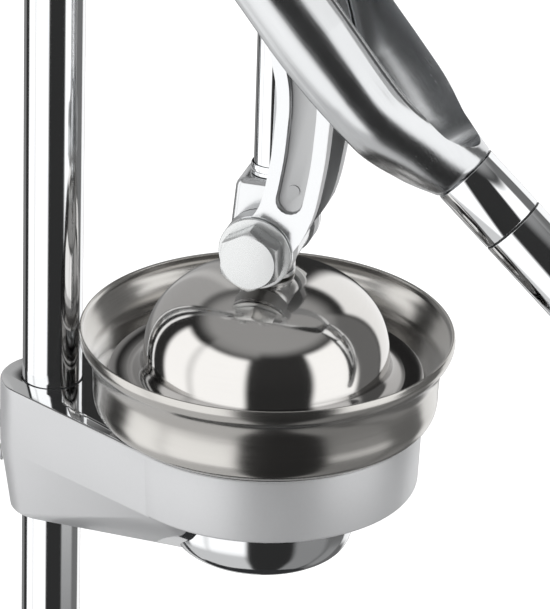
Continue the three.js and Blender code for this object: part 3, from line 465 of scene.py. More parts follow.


# %% [markdown]
# Some pieces carry two finishes. The bracket is satin, but its flat top and the drum are ground and
# polished, and so is the head above it. The floors of the links' recesses stay rough as cast, because a
# belt can't reach them; their darker tone, which also covers the links' inner halves, is painted shade.
# The bell's brim is rougher and painted darker, as painted shade deep in the bowl. Such a zone is told by
# its height and its distance from the bell's axis, or by its distance from the middle plane. The loop's
# outer walls are a little fuller than the loft makes them. A shallow relief as high as the wall, measured
# from the loop's neck, adds that to its reflections and fades out towards the nose.

# %% Zones and the loop's fullness
def change_in(tree, zone, changes):
    shader = tree.nodes["Principled BSDF"]
    for label, kind, value in changes:
        socket = shader.inputs[label]
        before = socket.links[0].from_socket if socket.links else socket.default_value
        tree.links.new(mixed(tree, kind, zone, before, value), socket)


def other_below(material, height, reach, rough, tone, above=False):
    tree = material.node_tree
    x, y, z = axes(tree, object_spot(tree))
    level, blur = place(0, 0, height).z, (-0.1 if above else 0.4) * mm
    edge = ranged(tree, z, level + blur, level - blur)
    behind = maths(tree, "SUBTRACT", y, ring_top.y)
    square = plus(tree, times(tree, x, x), times(tree, behind, behind))
    zone = times(tree, edge, maths(tree, "LESS_THAN", square, (reach * mm) ** 2))
    change_in(tree, zone, (("Roughness", "FLOAT", rough), ("Base Color", "RGBA", (*tone, 1)),
                           ("Metallic", "FLOAT", 1.0)))


# The higher roughness is the rough cast floor; the darker tone within half_gap of the middle plane is painted
# shade.
def cast_floor_painted_shade(material, half_gap, rough, tone):
    tree = material.node_tree
    from_middle = maths(tree, "ABSOLUTE", axes(tree, object_spot(tree))[0])
    inside = maths(tree, "LESS_THAN", from_middle, half_gap * mm)
    change_in(tree, inside, (("Roughness", "FLOAT", rough), ("Base Color", "RGBA", (*tone, 1))))


def fuller(material):
    tree = material.node_tree
    fine_relief = next(node for node in tree.nodes if node.type == "BUMP")
    mapping = next(node for node in tree.nodes if node.type == "MAPPING")
    x, y, z = axes(tree, mapping.outputs[0])
    half_height = ranged(tree, y, 20 * mm, 65 * mm, 11 * mm, 14.2 * mm)
    up = maths(tree, "DIVIDE", plus(tree, z, 3 * mm), half_height)
    up = times(tree, plus(tree, up, 1.0), 0.5)
    cube = times(tree, times(tree, up, up), up)
    depth = plus(tree, times(tree, up, -2.9 * mm), times(tree, cube, -8.7 * mm))
    fade = ranged(tree, y, 12 * mm, 40 * mm, smooth=True)
    before = ranged(tree, y, 5 * mm, 45 * mm, 1.0, 0.0)
    round_end = maths(tree, "SQRT", maths(tree, "SUBTRACT", 1.0, times(tree, before, before)))
    outside = maths(tree, "GREATER_THAN", maths(tree, "ABSOLUTE", x), times(tree, round_end, 18.4 * mm))
    tree.links.new(relief(tree, depth, times(tree, fade, outside)), fine_relief.inputs["Normal"])


# Links: painted shade darkens the recess floors and the inner halves between the links; the roughness is the
# rough cast.
cast_floor_painted_shade(link_cast, 15.7, 0.42, (0.5, 0.505, 0.51))
fuller(loop_brush)
# Bell: the brim below 20 mm is rougher, and its darker tone is painted shade, deep in the bowl.
other_below(bell_mirror, 20, 60, 0.14, (0.36, 0.35, 0.34))
other_below(bracket_satin, -23.2, 35.5, 0.1, (0.78, 0.79, 0.8))
other_below(bracket_satin, -0.25, 200, 0.05, (0.84, 0.845, 0.85), above=True)
print("finishes", len(bpy.data.materials))


# %% [markdown]
# A dressed piece takes the place of one solid, rides on that solid's body, and carries its finish slot.

# %% Dress one solid
def dress(piece, node, material, angle=30):
    only(piece)
    piece.data.materials.clear()
    piece.data.materials.append(material)
    bpy.ops.object.shade_smooth_by_angle(angle=math.radians(angle))
    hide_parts(node)
    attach(piece, body_of_node[node])
    return piece


def spun(name, line, node, material, spot=(0, 0, 0), turn=(0, 0, 0), steps=96):
    return dress(settle(turned(name, line, steps), spot, turn), node, material)


# %% [markdown]
# The base is a heavy cast plate with a textured dark paint, broad under the bowl and narrower round the
# pole. A skin over rings of circles gives its rounded rim in one step. The glass stands in a shallow
# round rest, and the pole sits in a raised boss.

# %% Base plate
base_low, base_top = table + 5, table + 19
foot_round, top_round = 1, 3
rim = []
for radius, x, y in ((78, 0, 0), (42, 0, pole_y)):
    for a, b in arc(0, 0, foot_round, 0, 90, 3):
        rim.append((radius - foot_round + a, x, y, base_low + foot_round - b))
    for a, b in arc(0, 0, top_round, 0, 90, 6):
        rim.append((radius - top_round + a, x, y, base_top - top_round + b))
slab = hulled("base_casting", rim, steps=96)
boss_line = [(0, base_top - 2), (23, base_top - 2), (23, base_top), *arc(23, base_top + 3, 3, 270, 190, 5),
             *arc(15.4, base_top + 16.4, 1.6, 5, 90, 5), (0, base_top + 18)]
boss = moved(turned("boss", boss_line), on_pole)
rest_line = [(0, base_top - 1.5), *arc(41.2, base_top - 0.7, 0.8, 270, 350, 4), (42.3, base_top + 1),
             (0, base_top + 1)]
feet = [(-43.84, -43.84), (43.84, -43.84), (-18.385, 92.785), (18.385, 92.785)]
base_tools = [turned("rest", rest_line)]
for radius, low, high in [(10.5, base_low + 9, 0), (4.5, base_low - 2, 0), (8, base_low - 2, base_low + 4.6)]:
    base_tools.append(moved(bar("hole", radius, low, high), on_pole))
for x, y in feet:
    base_tools.append(moved(bar("foot_seat", 10.3, base_low - 2, table + 8.3), (x, y, 0)))
base = settle(cut(united(slab, boss), *base_tools))
dress(base, "base_plate", base_paint)
print("base plate faces", len(base.data.polygons))

# %% [markdown]
# Four rubber feet stand in seats under the plate. One is turned with a soft edge and a shallow hollow in
# its sole, and then it is copied.

# %% Feet
sole = [(0, 0.5), (5, 0.5), (6, 0), *arc(8.5, 1.5, 1.5, 270, 360, 5), (10, 7.6), (9.6, 8), (0, 8)]
foot_pad = turned("foot_pad_front_left", sole, 48)
copies = [copy_of(foot_pad, "foot_pad_" + label) for label in ("front_right", "rear_left", "rear_right")]
pads = [foot_pad, *copies]
for pad, (x, y) in zip(pads, feet):
    settle(pad, (x, y, table))
    dress(pad, pad.name.replace("foot_pad", "foot"), foot_rubber)
print("feet", len(pads))


# %% [markdown]
# The pole is a chromed bar. It is the plainest piece and the brightest mirror, so it is spun with many
# steps and a small chamfer at each end.

# %% Pole
pole_low, pole_top = table + 14.3, 232
pole_line = [(0, pole_low), (9, pole_low), (10, pole_low + 1),
             (10, pole_top - 1), (9, pole_top), (0, pole_top)]
pole_bar = turned("pole_bar", pole_line, 128)
cut(pole_bar, bar("screw_hole", 4.3, pole_low - 2, pole_low + 16.3))
dress(settle(pole_bar, on_pole), "pole", pole_chrome)
print("pole", round(pole_top - pole_low, 1), "mm long")


# %% [markdown]
# Small screws hold the castings on the pole. Each is turned with a low dome, and a hexagon bar cuts the
# socket. Bolts and nuts are hexagon bars whose corners a lathe has chamfered, so the two shapes are
# intersected.

# %% Screws, bolts and washers
def hexagon(name, across_flats, low, high):
    bpy.ops.mesh.primitive_cylinder_add(vertices=6, radius=across_flats / math.sqrt(3) * mm,
                                        depth=(high - low) * mm, location=(0, 0, (high + low) / 2 * mm),
                                        rotation=(0, 0, math.radians(30)))
    piece = local(bpy.context.object)
    piece.name = name
    return piece


def socket_screw(name, shank, length, head, rise):
    edge = rise * 0.35
    dome = arc(head * 0.62, edge, head * 0.38, 0, 80, 6)
    squash = (rise - edge) / (dome[-1][1] - edge)
    line = [(0, -length), (shank - 0.4, -length), (shank, 0.4 - length), (shank, 0), (head - 0.3, 0),
            (head, 0.3), (head, edge), *((r, edge + (z - edge) * squash) for r, z in dome), (0, rise)]
    screw = turned(name, line, 40)
    return cut(screw, hexagon("socket", head, rise * 0.4, rise + 2))


def hex_head(name, across_flats, height):
    corner, flat = across_flats / math.sqrt(3), across_flats / 2
    line = [(0, 0), (flat + 0.4, 0), (corner, 0.5), (corner, height - 1.1), (flat + 0.3, height - 0.3),
            (flat - 0.3, height), (0, height)]
    return shared(hexagon(name, across_flats, 0, height), turned("chamfer", line, 96))


def hex_bolt(name, across_flats, height, shank, length):
    head = hex_head(name, across_flats, height)
    line = [(0, -length), (shank - 0.8, -length), (shank, 0.8 - length), (shank, height / 2), (0, height / 2)]
    return softened(united(head, turned("shank", line, 48)), 0.25, 25, 2)


def hex_nut(name, across_flats, height, bore):
    nut = cut(hex_head(name, across_flats, height), bar("bore", bore, -2, height + 2, 48))
    return softened(nut, 0.25, 25, 2)


def washer(name, outer, bore, thick):
    soft = thick * 0.35
    line = [(bore, 0), (outer - soft, 0), *arc(outer - soft, soft, soft, 270, 360, 3),
            *arc(outer - soft, thick - soft, soft, 0, 90, 3), (bore, thick)]
    return turned(name, closed(line), 72)


def bolted(node, x, y, z, maker, *sizes):
    turn = facing_left if x < 0 else facing_right
    dress(settle(maker(node + "_steel", *sizes), (x, y, z), turn), node, bolt_zinc)


# %% [markdown]
# The bracket is one satin casting: a ring that holds the bowl, a drum under it, and an arm that narrows
# back to the clamp on the pole. The arm's flanks are upright beside the ring's band and draw in below
# it. The arm is a skin from the ring's rear half to the clamp, and the ring and drum are spun.

# %% Bracket
ring_radius, clamp_radius, edge_round = 52.25, 17.5, 1.1
band_z, arm_z = -23, -48


def bracket_arm():
    rings = []
    for a, b in arc(0, 0, edge_round, 90, 0, 4):
        inset, drop = edge_round - a, b - edge_round
        rings += [(ring_radius - inset, 0, 0, drop, 8), (clamp_radius - 0.7 + a * 0.64, 0, pole_y, drop)]
        rings += [(14 - inset, 0, pole_y, arm_z - drop), (17 - inset, 0, 16, arm_z - drop)]
    rings += [(ring_radius - 0.7, 0, 0, band_z, 26), (clamp_radius - 0.05, 0, pole_y, band_z)]
    return hulled("bracket_casting", rings, steps=128)


drum_wall = curve([(26.6, -48.1), (28.9, -46.3), (30.4, -43.2), (31.2, -39), (31.6, -30), (32.1, -26.4),
                   (33.4, -24.2), (35.1, band_z)], 5)
drum_line = [(0, -48.3), (25, -48.3), *drum_wall, (50.6, band_z), *arc(50.6, -21.9, 1.1, 270, 360, 4),
             *arc(51.3, -1.1, 1.1, 0, 90, 5), (0, 0)]
bore_line = [(0, -50), (26, -50), (26, -19), (48.9, -19), (48.9, -0.6), (49.5, 0), (49.5, 2), (0, 2)]
bracket_tools = [turned("ring_bore", bore_line), moved(bar("pole_hole", 10.5, -50, 2), on_pole)]
for drop in (18.7, 31.1):
    bracket_tools.append(moved(bar("screw_hole", 2.7, 0, 20, 32), (0, pole_y, -drop), facing_back))
bracket = cut(united(bracket_arm(), turned("drum", drum_line, 128)), *bracket_tools)
dress(settle(bracket), "bracket", bracket_satin)
print("bracket faces", len(bracket.data.polygons))


# %% Set screws of the bracket and the head
def set_screw(label, node, wall, z):
    reach = wall + 0.3
    screw = socket_screw(label, 2.4, reach - 10.3, 3.1, 1.6)
    dress(settle(screw, (0, pole_y + reach, z), facing_back), node, bolt_zinc)


set_screw("upper_set_screw", "bracket_set_screw_upper", clamp_radius, -18.7)
set_screw("lower_set_screw", "bracket_set_screw_lower", 16.8, -31.1)
set_screw("head_clamp_screw", "head_set_screw", clamp_radius, 214)
print("set screws done")

# %% [markdown]
# The bowl is spun from thin stainless sheet. Its line runs from the spout up the funnel and the seat in
# the ring, then out over the shoulder, up a nearly straight wall and over a short flare to the lip.
# Spinning the outer face and thickening it inwards keeps the wall even. The bowl is hidden from mirror
# rays, so that the bell beside it shows the white windows of the studio right down to its edge.

# %% Bowl
shoulder = curve([(51, 0.3), (54.2, 1.3), (56.3, 3.4), (57.1, 6.5), (57.2, 11), (57.5, 15.5), (58.1, 19.2),
                  (59.5, 22.4), (61.2, 25), (62, 27.2), (61.9, 29.2)], 6)
bowl_line = [(10, -56), (10, -43), (25.2, -27), (25.2, -17.5), (46.4, -13.3), (47.6, -12.8), (48.2, -11.9),
             (48.4, -10.7), (48.4, 0.3), *shoulder, (61.6, 29.9)]
bowl = turned("bowl_shell", bowl_line, 160, sheet=1)
dress(softened(settle(bowl), 0.3, 50, 3), "bowl", bowl_steel, 40)
bowl.visible_glossy = False
print("bowl faces", len(bowl.data.polygons))

# %% [markdown]
# The strainer hangs in the bowl on a narrow flange. Eighteen slots in its floor let the juice through.
# One slot tool is made with round ends and copied round the axis. The dish is painted darker than the bowl,
# as painted shade deep in the bowl.

# %% Strainer
dish_line = [(22, -5), (45.2, -5), (46.1, -4.6), (46.4, -3.7), (46.4, 0.9), (46.7, 1.5), (50.4, 1.6)]
strainer = turned("strainer_dish", dish_line, 96, sheet=1)
slot_tool = hulled("slots", [(1.5, y, 0, z) for z in (-8, -2) for y in (34.5, 41.5)], steps=16)
slots = [copy_of(slot_tool, "slot") for _ in range(17)]
for number, slot in enumerate(slots, 1):
    moved(slot, (0, 0, 0), (0, 0, math.tau * number / 18))
cut(strainer, joined([slot_tool, *slots], "slots"))
dress(settle(strainer), "strainer", strainer_steel)
print("strainer faces", len(strainer.data.polygons))

# %% [markdown]
# The juicing cone is a ribbed casting. Ten ribs swell round it and fade to the tip, which a lathe can't
# do, so the spun cone's points are drawn in between the ribs afterwards, like clay under a thumb.

# %% Juicing cone
cone_seat, cone_high, cone_wide = -3.7, 35.5, 29
cone_foot = cone_seat + 2.5
cone_shares = [(1, 0.03), (0.97, 0.12), (0.88, 0.35), (0.75, 0.55), (0.56, 0.75), (0.32, 0.91), (0.13, 0.98)]
cone_line = curve([(cone_wide * r, cone_foot + cone_high * z) for r, z in cone_shares], 4)
cone_line = [(0, cone_foot), (28.4, cone_foot), *cone_line, (0, cone_foot + cone_high)]
cone = turned("cone_casting", cone_line, 120)
for point in cone.data.vertices:
    wave = (1 - math.cos(10 * math.atan2(point.co.y, point.co.x))) / 2
    drawn_in = 1 - 0.18 * wave ** 0.7
    point.co.x, point.co.y = point.co.x * drawn_in, point.co.y * drawn_in
flange_line = [(0, cone_seat), (28.6, cone_seat), *arc(28.4, cone_seat + 0.6, 0.6, 270, 360, 3),
               *arc(28.4, -1.6, 0.6, 0, 90, 3), (0, -1)]
plug = turned("plug", [(0, -8.7), (20.9, -8.7), (21.7, -7.9), (21.7, -2), (0, -2)], 96)
hollow_line = [(0, -11), (18.7, -11), (18.7, cone_foot), (15.7, cone_foot + 17.7), (0, cone_foot + 26.5)]
hollow = turned("hollow", hollow_line, 64)
cone = cut(united(cone, turned("flange", flange_line, 120), plug), hollow)
dress(settle(cone), "juicing_cone", cone_cast, 40)
print("cone faces", len(cone.data.polygons))

# %% [markdown]
# The bell is a polished steel dome with a flat brim. The dome is a little fuller than half an ellipse,
# and the fillet to the brim is a short curve. A mirror shows every facet, so the steps are fine and
# crowd towards the brim.

# %% Bell
dome_wide, dome_foot, dome_rise, fullness = 40.7, 20.2, 30.4, 0.87
dome_turns = [math.radians(85.3 * (i / 60) ** 1.15) for i in range(61)]
dome = [(dome_wide * math.cos(a) ** fullness, dome_foot + dome_rise * math.sin(a) ** fullness)
        for a in dome_turns]
brim = curve([(46.2, 14.65), (43.7, 15.2), (41.8, 16.5), (40.9, 18.4), dome[0]], 5)[:-1]
bell = turned("bell_shell", [(52.1, 14.6), (49, 14.6), *brim, *dome], 160, sheet=1.2)
dress(softened(settle(bell), 0.3, 50, 2), "bell", bell_mirror, 40)
collar_line = [(4.3, 0), (8.4, 0), (8.6, 0.2), (8.6, 1.2), (8.4, 1.4), (4.3, 1.4)]
spun("bell_collar_ring", closed(collar_line), "bell_collar", bolt_zinc, (0, 0, 51), steps=64)
for hidden in ("bell_washer", "bell_screw", "pole_screw", "pole_screw_washer"):
    solid = frame["nodes"][hidden]
    solid.data.materials.clear()
    solid.data.materials.append(bolt_zinc)
print("bell faces", len(bell.data.polygons))


# %% [markdown]
# The knuckle joins the bell, the guide rod and the links. Seen from the side it is a round barrel under
# two rounded shoulders, drawn here as circles round the hub's axis and wrapped in one skin whose edges
# are round too, and it stands on a turned foot.

# %% Knuckle
knuckle_round, knuckle_half = 3, 9.6


def knuckle_skin():
    rings = []
    for a, b in arc(0, 0, knuckle_round, 0, 90, 6):
        inset, depth = knuckle_round - b, knuckle_round - a
        for x in (depth - knuckle_half, knuckle_half - depth):
            rings += [(11.6 - inset, 0, hub_z, x), (3.4 - inset, -6.6, 82.6, x), (3.4 - inset, 6.6, 82.6, x)]
    return hulled("knuckle_casting", rings, steps=64)


knuckle = moved(knuckle_skin(), (0, 0, 0), across_x)
foot_line = [(0, 52.7), (8.1, 52.7), (8.6, 53.2), (8.6, 55), (8.4, 57), (8.4, 66), (0, 66)]
hub_bore = moved(bar("hub_bore", 6.3, -14, 14, 48), (0, 0, hub_z), facing_right)
united(knuckle, turned("foot", foot_line, 64))
cut(knuckle, hub_bore, bar("rod_socket", 6.3, 75, 90, 48), bar("screw_hole", 4.3, 50, 58.4, 32))
dress(settle(knuckle), "knuckle", knuckle_cast)
print("knuckle faces", len(knuckle.data.polygons))

# %% [markdown]
# The hub bolt passes through both links and the knuckle, with a washer under its head and its nut.

# %% Hub bolt
bolted("hub_bolt", -18.6, 0, hub_z, hex_bolt, 18.4, 7.4, 6, 48.2)
bolted("hub_nut", 18.6, 0, hub_z, hex_nut, 18.4, 9, 6.3)
bolted("hub_bolt_washer", -17.3, 0, hub_z, washer, 12.2, 6.3, 1)
bolted("hub_nut_washer", 17.3, 0, hub_z, washer, 12.2, 6.3, 1)
print("hub bolt placed")

# %% [markdown]
# The guide rod keeps the bell upright. It is a thin chromed bar in the knuckle's socket, with a grooved
# collar at its foot and a stop above the guide.

# %% Guide rod, collar and stop
rod_line = [(0, 75.3), (5.2, 75.3), (6, 76.1), (6, 234), (5.2, 234.8), (0, 234.8)]
spun("guide_rod_bar", rod_line, "guide_rod", rod_chrome)
groove = [(6.3, 0), (6.8, 0), (7, 0.2), (7, 1.3), (6.7, 1.5),
          (6.7, 1.9), (6.9, 2.1), (6.8, 3), (6.6, 3.4), (6.3, 3.4)]
spun("rod_collar_ring", closed(groove), "rod_collar", rod_chrome, (0, 0, 86.3), steps=72)
stop_line = [(0, 0), (8.7, 0), (9.2, 0.5), (9.2, 3.4), (8.8, 3.8), (8.8, 4.4), (9.2, 4.8),
             *arc(8.2, 7, 1, 0, 90, 5), (0, 8)]
stop = cut(turned("rod_stop_cap", stop_line, 72), bar("bore", 6.3, -2, 5.5, 48))
dress(settle(stop, (0, 0, 229.6)), "rod_stop", rod_chrome)
print("guide rod placed")


# %% [markdown]
# The links are flat castings that bow towards the user. Each is a plate along a curved middle line with
# an eye at both ends and a long recess in its outer face. Hubs and recess are joined and cut, and then
# the edges are softened as the polisher leaves them.

# %% Links
def band(middle, half, round_ends=False):
    left, right = [], []
    for number, (y, z) in enumerate(middle):
        before, after = middle[max(number - 1, 0)], middle[min(number + 1, len(middle) - 1)]
        along = Vector((after[0] - before[0], after[1] - before[1])).normalized()
        left.append((y - along.y * half, z + along.x * half))
        right.append((y + along.y * half, z - along.x * half))
    if not round_ends:
        return right + left[::-1]
    ends = []
    for (y, z), (a, b) in ((middle[-1], right[-1]), (middle[0], left[0])):
        start = math.degrees(math.atan2(b - z, a - y))
        ends.append(arc(y, z, half, start, start + 180, 8)[1:-1])
    return right + ends[0] + left[::-1] + ends[1]


bow = [(0, 0), (0.13, 0.61), (0.3, 0.87), (0.44, 0.97), (0.54, 1), (0.645, 0.92), (0.82, 0.58), (1, 0)]
link_middle = curve([(-14.2 * b, hub_z + (eye_z - hub_z) * t) for t, b in bow], 5)
recess_middle = [(y, z) for y, z in link_middle if hub_z + 16.5 < z < eye_z - 19]


def link(name, side):
    def outside(near, far):
        return (near, far) if side > 0 else (-far, -near)

    low, high = outside(10, 17)
    body = plate(name, band(link_middle, 8.7), low, high)
    hubs = [moved(bar("hub", radius, low, high, 96), (0, z, 0))
            for radius, z in ((12.2, hub_z), (10.8, eye_z))]
    softened(united(body, *hubs), 0.9, 30, 4)
    recess = softened(plate("recess", band(recess_middle, 4.5, True), *outside(15, 19)), 0.8, 60, 3)
    eyes = [moved(bar("eye", radius, low - 2, high + 2, 64), (0, z, 0))
            for radius, z in ((6.4, hub_z), (5.9, eye_z))]
    cut(body, recess, *eyes)
    united(body, moved(bar("pin_mark", 2, *outside(14.6, 15.3), 32), (-11.6, 87, 0)))
    return settle(body, (0, 0, 0), across_x)


link_bush_line = closed([(4.4, 0.3), (4.7, 0), (5.6, 0), (5.6, 7), (4.7, 7), (4.4, 6.7)])
for label, side, turn in (("left", -1, facing_left), ("right", 1, facing_right)):
    made = link("link_casting_" + label, side)
    dress(made, "link_" + label, link_cast)
    spot = (side * 10, 0, eye_z)
    spun("link_bush_ring_" + label, link_bush_line, "link_bush_" + label, bush_bronze, spot, turn, 48)
    print("link", label, "faces", len(made.data.polygons))

# %% [markdown]
# The lever's loop is the showpiece: two walls that sweep down and close into a round nose at the
# handle. A loft of many cross sections gives it one unbroken skin. Each section starts as a circle, is
# pushed into shape in code, because no single operator makes it, and then all are bridged.

# %% Lever loop sections
chord, nose, blend, ear_radius = 161.4, 45, 30, 14.2
tube_radius, wall_half, crown_drop, corner_soft = 11.0, 23.0, 4.4, 2.4
sag_depth, belly_depth, neck_tilt = 4.1, 4.2, 4.58


def share(shares, t):
    for (a, low), (b, high) in zip(shares, shares[1:]):
        if t <= b:
            return low + (high - low) * max(0, (t - a)) / (b - a)
    return shares[-1][1]


sag_shares = curve([(-0.04, -0.14), (0, 0), (0.1, 0.42), (0.19, 0.72), (0.38, 0.95), (0.58, 0.5), (0.8, 0.14),
                    (1, 0)], 8)
height_shares = curve([(0, 0), (0.1, 0.05), (0.2, 0.26), (0.3, 0.66), (0.38, 0.93), (0.5, 1), (1, 1)], 8)
nose_shares = curve([(0, 0), (0.12, 0.24), (0.28, 0.5), (0.48, 0.74), (0.72, 0.93), (1, 1)], 8)
belly_shares = curve([(0, 0), (0.05, 0.75), (0.1, 1), (0.15, 0.85), (0.22, 0.6), (0.32, 0.3), (0.45, 0.1),
                      (1, 0.1)], 8)


def section(along, radius=tube_radius, tall=None):
    t, into = along / chord, min(1, along / blend)
    boxy = into * into * (3 - 2 * into)
    half = tube_radius + (wall_half - tube_radius) * share(nose_shares, along / nose)
    high = 10.6 + 3.6 * share(height_shares, t) if tall is None else tall
    soft = min(corner_soft, high * 0.6)
    inner = high - soft
    side = []
    for i in range(15):
        v = inner * (2 * i / 14 - 1)
        side.append((half - crown_drop * (v / high) ** 2, v, 112 * i / 14 - 56))
    corner = side[-1][0] - soft
    for i in range(1, 5):
        a = math.radians(15 + 75 * i / 4)
        side.append((corner + soft * math.cos(a), inner + soft * math.sin(a), 56 + 14 * i / 4))
    side += [(corner * (1 - i / 3), high, 70 + 40 * i / 6) for i in range(1, 6)]
    ring = [*side, *((-x, v, 180 - a) for x, v, a in side[18::-1]),
            *((-x, -v, 180 + a) for x, v, a in side[15:]), *((x, -v, -a) for x, v, a in side[18:14:-1])]
    wide, deep = half - tube_radius + radius, radius * (1 - boxy) + high * boxy
    sunk = -sag_depth * share(sag_shares, t)
    belly = 1 + belly_depth * share(belly_shares, t) / high
    tilt = math.radians(neck_tilt) * (1 - into)
    points = []
    for x, v, a in ring:
        a = math.radians(a)
        x = x * boxy + wide * math.cos(a) * (1 - boxy)
        v = v * boxy + deep * math.sin(a) * (1 - boxy)
        v = v * belly if v < 0 else v
        points.append((x, along + v * math.sin(tilt), sunk + v * math.cos(tilt)))
    return points


sections = [section(along, radius) for along, radius in ((0, 10.2), (0.25, 10.7), (0.8, tube_radius))]
sections += [section(2 + (nose - 2) * i / 20) for i in range(21)]
sections += [section(nose + (chord - nose) * i / 18) for i in range(1, 19)]
for i in range(1, 13):
    a = math.radians(86 * i / 12)
    sections.append(section(chord + ear_radius * math.sin(a), tall=ear_radius * math.cos(a)))
print("loop sections", len(sections), "of", len(sections[0]), "points")


# %% Loft the loop
def lofted(name, rings):
    made = []
    for ring in rings:
        bpy.ops.mesh.primitive_circle_add(vertices=len(ring), radius=10 * mm, location=(0, 0, 0))
        circle = bpy.context.object
        for vertex, point in zip(circle.data.vertices, ring):
            vertex.co = Vector(point) * mm
        made.append(circle)
    piece = joined(made, name)
    count = len(rings[0])
    bpy.ops.object.mode_set(mode="EDIT")
    for number in range(len(rings) - 1):
        bpy.ops.mesh.select_all(action="DESELECT")
        bpy.ops.object.mode_set(mode="OBJECT")
        for edge in piece.data.edges:
            owners = {v // count for v in edge.vertices}
            edge.select = len(owners) == 1 and owners <= {number, number + 1}
        bpy.ops.object.mode_set(mode="EDIT")
        bpy.ops.mesh.select_mode(type="EDGE")
        bpy.ops.mesh.bridge_edge_loops(type="SINGLE", use_merge=False, number_cuts=0)
    bpy.ops.mesh.select_mode(type="VERT")
    bpy.ops.mesh.select_all(action="SELECT")
    bpy.ops.mesh.fill_holes(sides=0)
    return outward(piece)


loop = lofted("lever_loop_casting", sections)
opening_side = [(18 * math.sin(a), 5 + 40 * (1 - math.cos(a))) for a in map(math.radians, range(0, 91, 3))]
opening_line = [*opening_side, (18, chord + 18), (-18, chord + 18),
                *((-x, y) for x, y in opening_side[:0:-1])]
opening = plate("opening", opening_line, -24, 24)
spigot = moved(bar("spigot", 8.4, -1.5, 52, 48), (0, 0, 0), (handle_slope - loop_slope, 0, 0))
eye_y, eye_up = -neck[1], eye_z - neck[2]
crank_along = eye_y * math.cos(loop_slope) + eye_up * math.sin(loop_slope)
crank_up = eye_up * math.cos(loop_slope) - eye_y * math.sin(loop_slope)
cross_bores = [moved(bar("bore", radius, -26, 26, 48), (0, along, up), facing_right)
               for radius, along, up in ((5.3, chord, 0), (4.3, crank_along, crank_up))]
cut(united(loop, spigot), opening, *cross_bores)
softened(loop, 0.6, 55, 3)
dress(settle(loop, neck, (loop_slope, 0, 0)), "lever_loop", loop_brush, 40)
print("loop faces", len(loop.data.polygons))

# %% [markdown]
# The handle is a chromed tube on the loop's spigot. A short ferrule comes first, then a thin black seam,
# then the grip with a plastic cap. All four are spun in line and turned down to the handle's slope.

# %% Handle
def on_handle(name, line, node, material, steps=96):
    spun(name, line, node, material, neck, (handle_slope, 0, 0), steps)


def tube_line(outer, low, high, soft):
    return closed([(grip_bore, low), (outer - soft, low), *arc(outer - soft, low + soft, soft, 270, 360, 3),
                   *arc(outer - soft, high - soft, soft, 0, 90, 3), (grip_bore, high)])


grip_radius, grip_bore = 11, 8.7
on_handle("ferrule_tube", tube_line(grip_radius, 0.3, 22.35, 0.2), "handle_ferrule", handle_chrome, 128)
on_handle("seam_band", tube_line(10.75, 22.4, 22.95, 0.05), "handle_seam_ring", cap_plastic)
on_handle("grip_tube", tube_line(grip_radius, 23.0, 161.5, 0.2), "handle_tube", handle_chrome, 128)
cap_top = [(grip_radius * math.cos(a), 162.85 + 4 * math.sin(a)) for a in map(math.radians, range(0, 90, 10))]
cap_line = [(0, 149.8), (7.9, 149.8), (8.4, 150.3), (8.4, 161.8), (10.8, 161.8), (11, 162), *cap_top,
            (0, 166.85)]
on_handle("grip_end_cap", cap_line, "handle_end_cap", cap_plastic)
print("handle spun")

# %% [markdown]
# The pivot bolt holds the loop's ears to the head. Two stub bolts in the walls take the links' eyes.

# %% Pivot bolt and crank bolts
bolted("pivot_bolt", -25.2, *pivot, hex_bolt, 16, 6, 5, 60.4)
bolted("pivot_nut", 25.2, *pivot, hex_nut, 16, 8, 5.3)
bolted("pivot_bolt_washer", -23.3, *pivot, washer, 10, 5.3, 1.6)
bolted("pivot_nut_washer", 23.3, *pivot, washer, 10, 5.3, 1.6)
for label, x, turn in (("left", -23.3, facing_left), ("right", 23.3, facing_right)):
    stub = socket_screw("crank_stub_" + label, 4, 5.3, 7.6, 3.6)
    dress(settle(stub, (x, 0, eye_z), turn), "crank_bolt_" + label, bolt_zinc)
print("pivot and crank bolts placed")


# %% [markdown]
# The head clamps on the pole's top. It carries the lever's boss and guides the rod in two bronze bushes.

# %% Head casting
def block(spot, size):
    middle, sides = [[step * mm for step in steps] for steps in (spot, size)]
    bpy.ops.mesh.primitive_cube_add(size=1, location=middle, scale=sides)
    return local(bpy.context.object)


def head_casting():
    barrel_line = [(0, 190), (16.4, 190), *arc(16.4, 191.1, 1.1, 270, 360, 4),
                   *arc(16.4, 236.9, 1.1, 0, 90, 4), (0, 238)]
    barrel = moved(turned("head_casting", barrel_line), on_pole)
    web = softened(block((0, pole_y / 2, 210), (16, pole_y, 28)), 2.4, 30, 4)
    boss_line = [(0, -17.7), (11.7, -17.7), *arc(11.7, -16.9, 0.8, 270, 360, 4),
                 *arc(11.7, 16.9, 0.8, 0, 90, 4), (0, 17.7)]
    boss = moved(turned("boss", boss_line), (0, *pivot), facing_right)
    guide_line = [(0, 183.5), (10.7, 183.5), (11.5, 184.3), (11.5, 226.2), (10.7, 227), (0, 227)]
    guide = shared(turned("guide", guide_line), block((0, 0, 205), (18.6, 24, 50)))
    return united(barrel, web, boss, softened(guide, 0.6, 30, 3))


